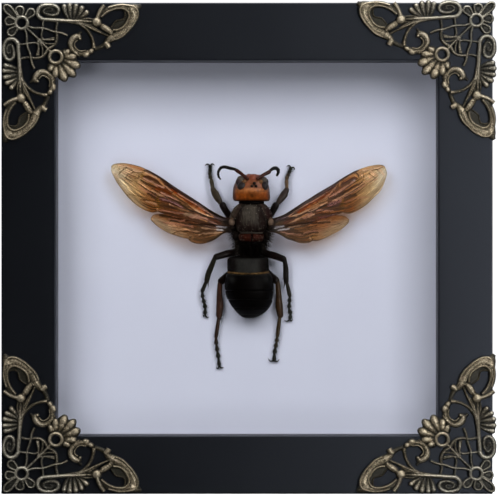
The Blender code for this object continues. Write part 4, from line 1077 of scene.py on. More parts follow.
FIRST_GREY = (0.0210, 0.0205, 0.0190)
HEM = (0.160, 0.092, 0.036)
rings = [
    ([(-8.3, -0.6, 2.6, 4.6, 7.4), (-8.55, -0.75, 4.9, 3.6, 8.8), (-8.95, -0.85, 5.6, 2.5, 9.8),
      (-9.9, -0.87, 5.65, 2.0, 10.4), (-11.0, -0.85, 5.65, 1.6, 10.8), (-12.2, -0.82, 5.72, 1.3, 11.0),
      (-12.5, -0.8, 5.7, 1.3, 11.0), (-12.62, -0.8, 5.5, 1.5, 10.8)], FIRST_GREY),
    ([(-12.35, -0.78, 5.5, 1.5, 10.9), (-12.55, -0.78, 5.76, 1.25, 11.12), (-12.95, -0.75, 5.86, 1.2, 11.16),
      (-13.15, -0.73, 5.7, 1.4, 10.95)], HEM),
    ([(-12.9, -0.74, 5.6, 1.5, 10.8), (-13.25, -0.7, 6.0, 1.05, 11.15), (-14.2, -0.6, 6.5, 0.8, 11.3),
      (-16.3, -0.52, 6.75, 0.6, 11.35), (-17.6, -0.48, 6.72, 0.6, 11.25),
      (-17.95, -0.46, 6.64, 0.7, 11.15)], JET),
    ([(-17.6, -0.46, 6.5, 0.8, 11.0), (-18.0, -0.45, 6.68, 0.65, 11.12), (-19.3, -0.45, 6.45, 0.6, 10.8),
      (-20.2, -0.28, 6.2, 0.65, 10.4), (-20.5, -0.22, 6.06, 0.72, 10.25)], JET),
    ([(-20.2, -0.25, 6.0, 0.85, 10.1), (-20.55, -0.2, 6.1, 0.72, 10.2), (-21.7, -0.02, 5.58, 0.85, 9.3),
      (-22.5, -0.04, 5.06, 1.0, 8.65), (-22.75, -0.02, 4.9, 1.1, 8.45)], JET),
    ([(-22.45, -0.03, 4.9, 1.2, 8.4), (-22.8, 0.0, 4.92, 1.1, 8.4), (-23.8, -0.04, 3.9, 1.35, 7.2),
      (-24.4, -0.15, 3.2, 1.6, 6.4), (-24.55, -0.2, 3.0, 1.7, 6.1)], JET),
    ([(-24.2, -0.2, 3.0, 1.8, 6.1), (-24.6, -0.25, 2.9, 1.7, 5.9), (-25.1, -0.4, 2.1, 2.1, 5.1),
      (-25.4, -0.4, 1.1, 2.6, 4.3)], JET)]
parts = [make_plate(stations, tint, 36) for stations, tint in rings]
for plate in parts:
    for vert in plate.data.vertices:
        x, _, z = (vert.co - hornet) / MM
        sag = 0.5 * (1 - ((x + 0.8) / 6.0) ** 2)
        vert.co.z -= sag * fade(z, -10.6, -12.2) * fade(z, -15.2, -13.2) * MM
press(parts[0], lambda x, z: 0.05 * math.sin(x * 2.1 + z) * math.sin(z * 1.7))


def first_tint(x, z, height):
    flank = dyed(FIRST_GREY, (0.006, 0.0045, 0.004), max(fade(x, 1.2, 3.4), fade(x, -3.4, -4.8)))
    return dyed(flank, JET, max(fade(abs(x + 0.8), 5.0, 5.7), fade(z, -9.6, -8.8)))


def hem_tint(x, z, height):
    return Vector(HEM) * (0.75 + 0.7 * cloudy(x * 1.4, z * 3, 4.0) - 0.45 * groove(x + 0.6, 1.6))


def second_tint(x, z, height):
    # Painted glints on both shoulders of the second plate.
    painted_glint = 0.9 * groove(math.hypot(abs(x + 0.6) - 4.6, z + 14.7), 0.8)
    return dyed(JET, (0.016, 0.016, 0.015), fade(z, -13.9, -13.4) + painted_glint)


for plate, tint_at in zip(parts, (first_tint, hem_tint, second_tint)):
    shade_plate(plate, tint_at)
grow_hairs(parts[2:], 420, lambda x, z, normal: abs(normal.x) > 0.6 or z < -22.0,
           0.75, (0, 0, -0.6), 0.026, (0.012, 0.009, 0.007))
grow_hairs(parts[:1], 260, lambda x, z, normal: normal.y < -0.1,
           0.4, (0, 0, -1.0), 0.018, (0.05, 0.046, 0.04))
finish_insect_part(parts, "gaster", dark_chitin)

# ---------------------------------------------------------------- legs
# Six dried legs spread on the card: black thighs, browner shins with a pair of spurs, and feet of
# five heart-shaped joints with spines, which end in a pair of hooked claws.

THIGH_BLACK = (0.0055, 0.0028, 0.0022)
FOOT_BLACK = (0.008, 0.008, 0.0045)
THIGH_GIRTH, SHIN_GIRTH = 1.33, 1.16
LEGS = (
    ("foreleg_left", (0.046, 0.034, 0.022), (0.050, 0.040, 0.022),
     [(-2.6, 0.2, 1.5, 0.8), (-5.0, 1.6, 2.1, 0.75), (-6.9, 3.9, 3.2, 0.68), (-7.8, 5.5, 3.7, 0.72)],
     [(-8.2, 5.9, 3.6, 0.46), (-9.0, 7.2, 3.2, 0.82), (-9.8, 8.6, 2.8, 0.88), (-10.45, 9.8, 2.4, 0.6)],
     [(-10.45, 9.7), (-10.9, 12.4), (-11.25, 13.5), (-11.3, 14.4), (-11.15, 15.2), (-11.2, 16.2)],
     (-12.6, 16.3)),
    ("foreleg_right", (0.044, 0.030, 0.024), (0.140, 0.086, 0.048),
     [(2.6, 0.4, 1.5, 0.8), (4.6, 2.0, 2.1, 0.75), (5.9, 3.9, 3.2, 0.68), (6.75, 5.45, 3.7, 0.72)],
     [(7.1, 5.8, 3.6, 0.46), (8.1, 7.1, 3.2, 0.78), (9.1, 8.5, 2.8, 0.88), (9.75, 9.8, 2.4, 0.6)],
     [(9.8, 9.7), (9.7, 12.3), (9.85, 13.3), (10.25, 14.0), (10.6, 14.9), (10.9, 15.6)],
     (9.7, 16.1)),
    ("midleg_left", (0.016, 0.014, 0.009), (0.010, 0.008, 0.005),
     [(-1.8, -3.6, 1.5, 0.8), (-3.7, -6.9, 2.3, 0.78), (-6.6, -7.8, 3.4, 0.76), (-9.5, -8.65, 4.0, 0.68)],
     [(-9.9, -9.0, 3.9, 0.55), (-11.0, -11.6, 3.0, 0.68), (-11.7, -13.4, 2.5, 0.7),
      (-12.1, -15.1, 2.1, 0.62)],
     [(-12.2, -15.3), (-13.4, -18.2), (-13.2, -19.8), (-12.85, -21.2), (-12.5, -22.6), (-12.65, -24.3)],
     (-11.5, -25.1)),
    ("midleg_right", (0.008, 0.006, 0.005), (0.012, 0.009, 0.005),
     [(1.7, -3.6, 1.5, 0.8), (3.5, -7.3, 2.3, 0.78), (6.3, -8.3, 3.4, 0.76), (8.8, -9.25, 4.0, 0.7)],
     [(9.2, -9.7, 3.9, 0.52), (9.5, -12.0, 3.0, 0.66), (9.5, -14.0, 2.5, 0.7), (9.6, -15.5, 2.1, 0.6)],
     [(9.8, -15.8), (10.6, -19.4), (10.5, -21.0), (10.4, -22.6), (10.75, -24.2), (10.7, -25.6)],
     (9.1, -25.95)),
    ("hindleg_left", (0.060, 0.027, 0.018), (0.030, 0.014, 0.008),
     [(-1.6, -8.6, 1.5, 0.75), (-4.0, -11.7, 1.35, 0.8), (-6.9, -14.2, 1.7, 0.78), (-8.1, -15.3, 2.5, 0.8)],
     [(-8.5, -16.0, 2.6, 0.58), (-8.65, -19.0, 2.4, 0.66), (-8.5, -22.2, 2.1, 0.9),
      (-8.75, -24.7, 1.7, 0.74)],
     [(-8.8, -25.1), (-9.6, -30.6), (-9.5, -32.6), (-9.2, -34.4), (-8.95, -36.2), (-8.7, -38.4)],
     (-7.55, -38.8)),
    ("hindleg_right", (0.046, 0.023, 0.010), (0.040, 0.024, 0.008),
     [(1.3, -8.6, 1.5, 0.75), (3.1, -11.6, 1.35, 0.8), (5.5, -14.0, 1.7, 0.78), (6.8, -15.1, 2.5, 0.78)],
     [(7.25, -15.7, 2.6, 0.58), (7.55, -18.8, 2.4, 0.66), (7.7, -22.4, 2.1, 0.95), (8.0, -24.6, 1.7, 0.76)],
     [(7.9, -24.9), (7.2, -30.4), (7.0, -31.9), (6.7, -33.4), (6.4, -35.0), (6.3, -37.0)],
     (4.65, -36.45)),
)
FOOT_HEIGHT = 0.8
SPINE_BROWN = (0.016, 0.010, 0.007)
LINE_OF_SIGHT = Vector((0, 1, 0))
for name, shin_tint, foot_tint, thigh, shin, stops, claw in LEGS:
    parts = make_tube(thigh, THIGH_BLACK, THIGH_GIRTH) + make_tube(shin, shin_tint, SHIN_GIRTH)
    knee = [(a + b) / 2 for a, b in zip(thigh[-1][:3], shin[0][:3])]
    # The paler colour of the knee is a painted glint.
    parts.append(make_dome(knee, (0.68, 0.68, 0.66), (0.046, 0.034, 0.028), segments=14))
    fall = FOOT_HEIGHT - shin[-1][2]
    spines = []
    for i, ((x0, z0), (x1, z1)) in enumerate(zip(stops, stops[1:])):
        height0, height1 = shin[-1][2] + fall * i / 5, shin[-1][2] + fall * (i + 1) / 5
        x0, z0 = x0 + (x1 - x0) * 0.04, z0 + (z1 - z0) * 0.04
        wide = (0.56, 0.6, 0.62, 0.64, 0.56)[i]
        girths = (0.46, 0.54, wide, 0.44) if i == 0 else (0.3, wide * 0.78, wide, wide * 0.66)
        joint = [(x0 + (x1 - x0) * t, z0 + (z1 - z0) * t, height0 + (height1 - height0) * t, radius)
                 for t, radius in zip((0, 0.45, 0.85, 1), girths)]
        parts += make_tube(joint, dyed(foot_tint, FOOT_BLACK, (0, 0.45, 0.75, 1, 1)[i]))
        along = (on_card(x1, z1, height1) - on_card(x0, z0, height0)).normalized()
        across = along.cross(LINE_OF_SIGHT).normalized()
        for turn in (-1, 1):
            for back in (0.25, 0.95):
                root = on_card(x1, z1, height1) - along * back * MM * 0.8 + across * turn * wide * 0.7 * MM
                spines.append((root, (along * 0.75 + across * turn * 0.75) * MM * 0.75))
    # Two claws: one to its place on the card, and its mirror image across the foot
    end = on_card(*stops[-1], FOOT_HEIGHT)
    heading = (end - on_card(*stops[-2], FOOT_HEIGHT)).normalized()
    reach = on_card(*claw, 0.5) - end
    sideways = heading.cross(LINE_OF_SIGHT).normalized()
    other = reach - sideways * 2 * reach.dot(sideways)
    for reach in (reach, other * (0.4 if name.startswith("mid") else 0.85)):
        hook = [(end, 0.26), (end + reach * 0.55 + heading * 0.5 * MM, 0.2), (end + reach, 0.07)]
        hook = [((at.x - hornet.x) / MM, (at.z - hornet.z) / MM, (hornet.y - at.y) / MM, radius)
                for at, radius in hook]
        parts += make_tube(hook, FOOT_BLACK, rounded=False)
    shin_end = on_card(*shin[-1][:3])
    shin_way = (shin_end - on_card(*shin[-2][:3])).normalized()
    inwards = shin_way.cross(LINE_OF_SIGHT).normalized()
    if (inwards.x > 0) != (shin[-1][0] < 0):
        inwards = -inwards
    spurs = [(shin_end + inwards * 0.5 * MM, (shin_way + inwards * 0.15) * 2.4 * MM),
             (shin_end + inwards * 0.2 * MM, (shin_way + inwards * 0.3) * 1.6 * MM)]
    parts.append(make_hairs(spines, 0.07, SPINE_BROWN))
    parts.append(make_hairs(spurs, 0.14, SPINE_BROWN))
    grow_hairs([parts[0], parts[3]], 90, lambda x, z, normal: normal.y < 0.4,
               0.55, tuple(shin_way * 0.6), 0.024, (0.014, 0.010, 0.007))
    finish_insect_part(parts, name, brown_chitin)

# ---------------------------------------------------------------- wings
# Four dried wings of thin smoky membrane, braced by veins and creased lengthwise into crests
# and valleys. The pale colour on the crests is painted highlight and the dark in the valleys partly
# painted shade. Their roots are tucked under the small brown scales at the thorax's sides.

# Cream and rose strokes paint highlights along the crests; chalk strokes paint a glint at the wing roots.
CREAM_HIGHLIGHT, BEIGE, MOSS = (0.750, 0.480, 0.280), (0.530, 0.370, 0.220), (0.370, 0.280, 0.165)
ROSE_HIGHLIGHT, GOLD, TAN = (0.520, 0.290, 0.190), (0.500, 0.250, 0.095), (0.339, 0.187, 0.080)
AMBER, SEPIA, UMBER = (0.230, 0.115, 0.044), (0.085, 0.030, 0.008), (0.030, 0.009, 0.003)
OXBLOOD, RUST, OLIVE = (0.060, 0.012, 0.003), (0.250, 0.046, 0.004), (0.165, 0.085, 0.014)
VIOLET, LILAC, PLUM = (0.018, 0.011, 0.013), (0.100, 0.066, 0.066), (0.270, 0.150, 0.135)
NET, CHALK_GLINT, PITCH = (0.085, 0.040, 0.010), (0.800, 0.740, 0.700), (0.007, 0.005, 0.004)


def amber_membrane(name):
    """Membrane in the tint of its veins and creases, with fine streaks from the root to the tip."""
    material, place = new_material(name)
    own = add_node(material, "Attribute", attribute_name="tint").outputs["Color"]
    spread = add_node(material, "TexCoord").outputs["UV"]
    streaks = grain(material, stretched(material, spread, (9, 70, 1)), 1, 4, 0.6)
    wrinkles = grain(material, stretched(material, spread, (30, 150, 1)), 1, 2)
    down = grain(material, place, 6500, 2)
    streaked = tones(material, streaks, (0.3, (0.78, 0.77, 0.75)), (0.72, (1.16, 1.17, 1.18)))
    tone = blended(material, 1.0, own, streaked, "MULTIPLY")
    bump = relief(material, streaks, 0.00006, 0.5)
    bump = relief(material, wrinkles, 0.00003, 0.45, bump)
    bump = relief(material, down, 0.000012, 0.4, bump)
    set_shader(material, {"Base Color": tone, "Roughness": level(material, wrinkles, 0.32, 0.5),
                          "Specular IOR Level": 0.2, "Normal": bump})
    # Light that passes the membrane takes on its tint; veins and dark creases are too thick for it
    red = add_node(material, "SeparateColor", {"Color": tone}).outputs["Red"]
    strong = blended(material, 1.0, blended(material, 1.0, tone, (4.2, 4.2, 4.2, 1), "MULTIPLY"),
                     level(material, red, 1.0, 4.2), "DIVIDE")
    passed = add_node(material, "BsdfTransparent", {
        "Color": add_node(material, "Gamma", {"Color": strong, "Gamma": 0.5}).outputs["Color"]})
    brightness = add_node(material, "RGBToBW", {"Color": own}).outputs["Val"]
    skin = add_node(material, "MixShader", {
        "Fac": level(material, brightness, 0.0, 0.8, 0.012, 0.12),
        1: material.node_tree.nodes["Principled BSDF"].outputs["BSDF"], 2: passed.outputs["BSDF"]})
    plug(material, material.node_tree.nodes["Material Output"], {"Surface": skin.outputs["Shader"]})
    return material


membrane = amber_membrane("amber_membrane_of_the_wings")
CREASE_DEPTH = 1.5
WING_DROOP = 0.115
MEMBRANE_THICK = 0.08 * MM
FOREWING_CELLS, HINDWING_CELLS = (350, 118), (250, 110)
# Smoky stain along the front edge: where it starts, is full, ends being full and stops, and its strength
FOREWING_STAIN, HINDWING_STAIN = (8, 11, 21, 26, 0.38), (5, 6, 6, 7, 0.0)
# Ground tint from the root outwards: reach in mm, along the front half and along the rear half
FOREWING_GROUND = [(5.2, (0.016, 0.011, 0.009), (0.020, 0.012, 0.009)), (7.5, (0.028, 0.017, 0.013),
 (0.040, 0.024, 0.015)),
                   (11.0, (0.080, 0.038, 0.026), (0.110, 0.055, 0.034)), (15.5, (0.105, 0.042, 0.019),
                    (0.135, 0.060, 0.028)),
                   (19.5, (0.112, 0.043, 0.016), (0.134, 0.050, 0.018)), (23.7, (0.145, 0.050, 0.016),
                    (0.136, 0.053, 0.016)),
                   (27.6, (0.258, 0.116, 0.037), (0.288, 0.140, 0.046)), (31.8, (0.501, 0.332, 0.150),
                    (0.559, 0.418, 0.231)),
                   (35.0, (0.554, 0.423, 0.233), (0.695, 0.611, 0.438)), (38.2, (0.590, 0.457, 0.257),
                    (0.701, 0.637, 0.469))]
HINDWING_GROUND = [(5.2, (0.016, 0.011, 0.009), (0.016, 0.011, 0.009)), (7.0, (0.060, 0.040, 0.030),
 (0.045, 0.027, 0.016)),
                   (10.0, (0.095, 0.046, 0.025), (0.130, 0.075, 0.036)), (14.0, (0.110, 0.050, 0.022),
                    (0.185, 0.108, 0.052)),
                   (17.5, (0.167, 0.066, 0.026), (0.310, 0.186, 0.089)), (20.2, (0.299, 0.126, 0.046),
                    (0.522, 0.344, 0.198)),
                   (23.0, (0.331, 0.168, 0.065), (0.694, 0.524, 0.361)), (26.0, (0.380, 0.227, 0.113),
                    (0.759, 0.598, 0.442)),
                   (27.4, (0.416, 0.275, 0.163), (0.763, 0.619, 0.452))]


def rounded_line(points, count):
    """`count` evenly spaced (x, z) places in mm on a line with its corners rounded."""
    line = along_route(points, count, 2)
    for _ in range(14):
        line[1:-1] = (line[:-2] + 2 * line[1:-1] + line[2:]) / 4
    return line


def nearness(places, route, width):
    """1 on the line through a route, fading to 0 a few widths away and thinner at both ends."""
    route = np.array(route, float)
    lengths = np.linalg.norm(np.diff(route, axis=0), axis=1)
    nearest, along = np.full(len(places), 1e9), np.zeros(len(places))
    for i, (start, length) in enumerate(zip(route, lengths)):
        way = route[i + 1] - start
        share = np.clip((places - start) @ way / length ** 2, 0, 1)
        apart = np.linalg.norm(places - start - share[:, None] * way, axis=1)
        closer = apart < nearest
        nearest[closer] = apart[closer]
        along[closer] = (lengths[:i].sum() + share[closer] * length) / lengths.sum()
    thin = 0.7 + 0.3 * np.clip(np.minimum(along, 1 - along) * 8, 0, 1)
    return np.exp(-(nearest / (width * thin * 1.3)) ** 2.2)


def make_wing(name, root_height, seed, cells, ground, stain, front, rear, creases):
    """A grid between the two edges, dyed and creased along its named lines, then given a thickness."""
    deselect_all()
    bpy.ops.mesh.primitive_grid_add(x_subdivisions=cells[0], y_subdivisions=cells[1], size=1,
                                    location=(0, 0, 0))
    wing = bpy.context.object
    flat = np.empty(len(wing.data.vertices) * 3)
    wing.data.vertices.foreach_get("co", flat)
    along, across = flat.reshape(-1, 3)[:, 0] + 0.5, flat.reshape(-1, 3)[:, 1] + 0.5
    steps = np.linspace(0, 1, cells[0] + 1)
    ahead, behind = [between(steps, rounded_line(edge, len(steps)), along) for edge in (front, rear)]
    places = ahead + (behind - ahead) * across[:, None]
    outwards = np.abs(places[:, 0])
    chord = np.linalg.norm(behind - ahead, axis=1)
    folds, ripples, threads = [
        np.array([cloudy(a * long, b * wide, seed + more) for a, b in zip(along, across)])
        for long, wide, more in ((3.2, 17, 0), (6.5, 46, 5), (9, 75, 7))]
    crumple = np.array([[cloudy(x * 1.1 + apart, z * 1.9 - apart, seed + 9) for apart in (0, 31, 67)]
                        for x, z in places])
    rise = 0.09 * folds + 0.035 * ripples + 0.02 * crumple[:, 2]
    strayed = places + 0.16 * crumple[:, :2] + 0.1 * np.stack([folds, ripples], 1)
    reach = [stop[0] for stop in ground]
    ahead_dye, behind_dye = [between(reach, [stop[half] for stop in ground], outwards) for half in (1, 2)]
    dye = ahead_dye + (behind_dye - ahead_dye) * np.clip(across * 2 - 0.5, 0, 1)[:, None]
    # Pale crest tints are painted highlights. Dark valley tints are partly painted shade and partly real
    # veins.
    for tint, width, lift, strength, route in creases:
        share = min(1, strength * 1.12) * nearness(strayed, route, width)
        share *= np.clip(1 + 0.6 * crumple[:, 2], 0.55, 1)
        dye += (np.array(tint) - dye) * share[:, None]
        rise += lift * CREASE_DEPTH * share
    clear = np.clip(dye.mean(1) * 5 - 0.6, 0, 1)
    streaks = 0.05 + 0.7 * folds + (1.15 + 0.5 * clear) * ripples + 0.7 * clear * threads
    dye *= np.exp(streaks + 0.38 * crumple[:, 2])[:, None]
    smoky = np.interp(outwards, stain[:4], [0, 1, 1, 0]) * np.clip(1.6 - across * 3, 0, 1)
    dye *= 1 - stain[4] * smoky[:, None] * (0.85, 0.95, 1.2)
    for edge in (across, 1 - across):
        share = 0.8 * np.exp(-(edge * chord / 0.2) ** 2)
        dye += (np.array(UMBER) - dye) * share[:, None]
        rise += 0.03 * share
    height = root_height - WING_DROOP * np.maximum(outwards - 6.25, 0) + rise
    spots = np.array(hornet) + np.stack([places[:, 0], -height, places[:, 1]], 1) * MM
    wing.data.vertices.foreach_set("co", spots.ravel())
    colour_plate(wing, AMBER)
    wing.data.color_attributes["tint"].data.foreach_set("color", np.c_[dye, np.ones(len(dye))].ravel())
    apply_modifier(wing, "SOLIDIFY", thickness=MEMBRANE_THICK, offset=0)
    finish_insect_part([wing], name, membrane)


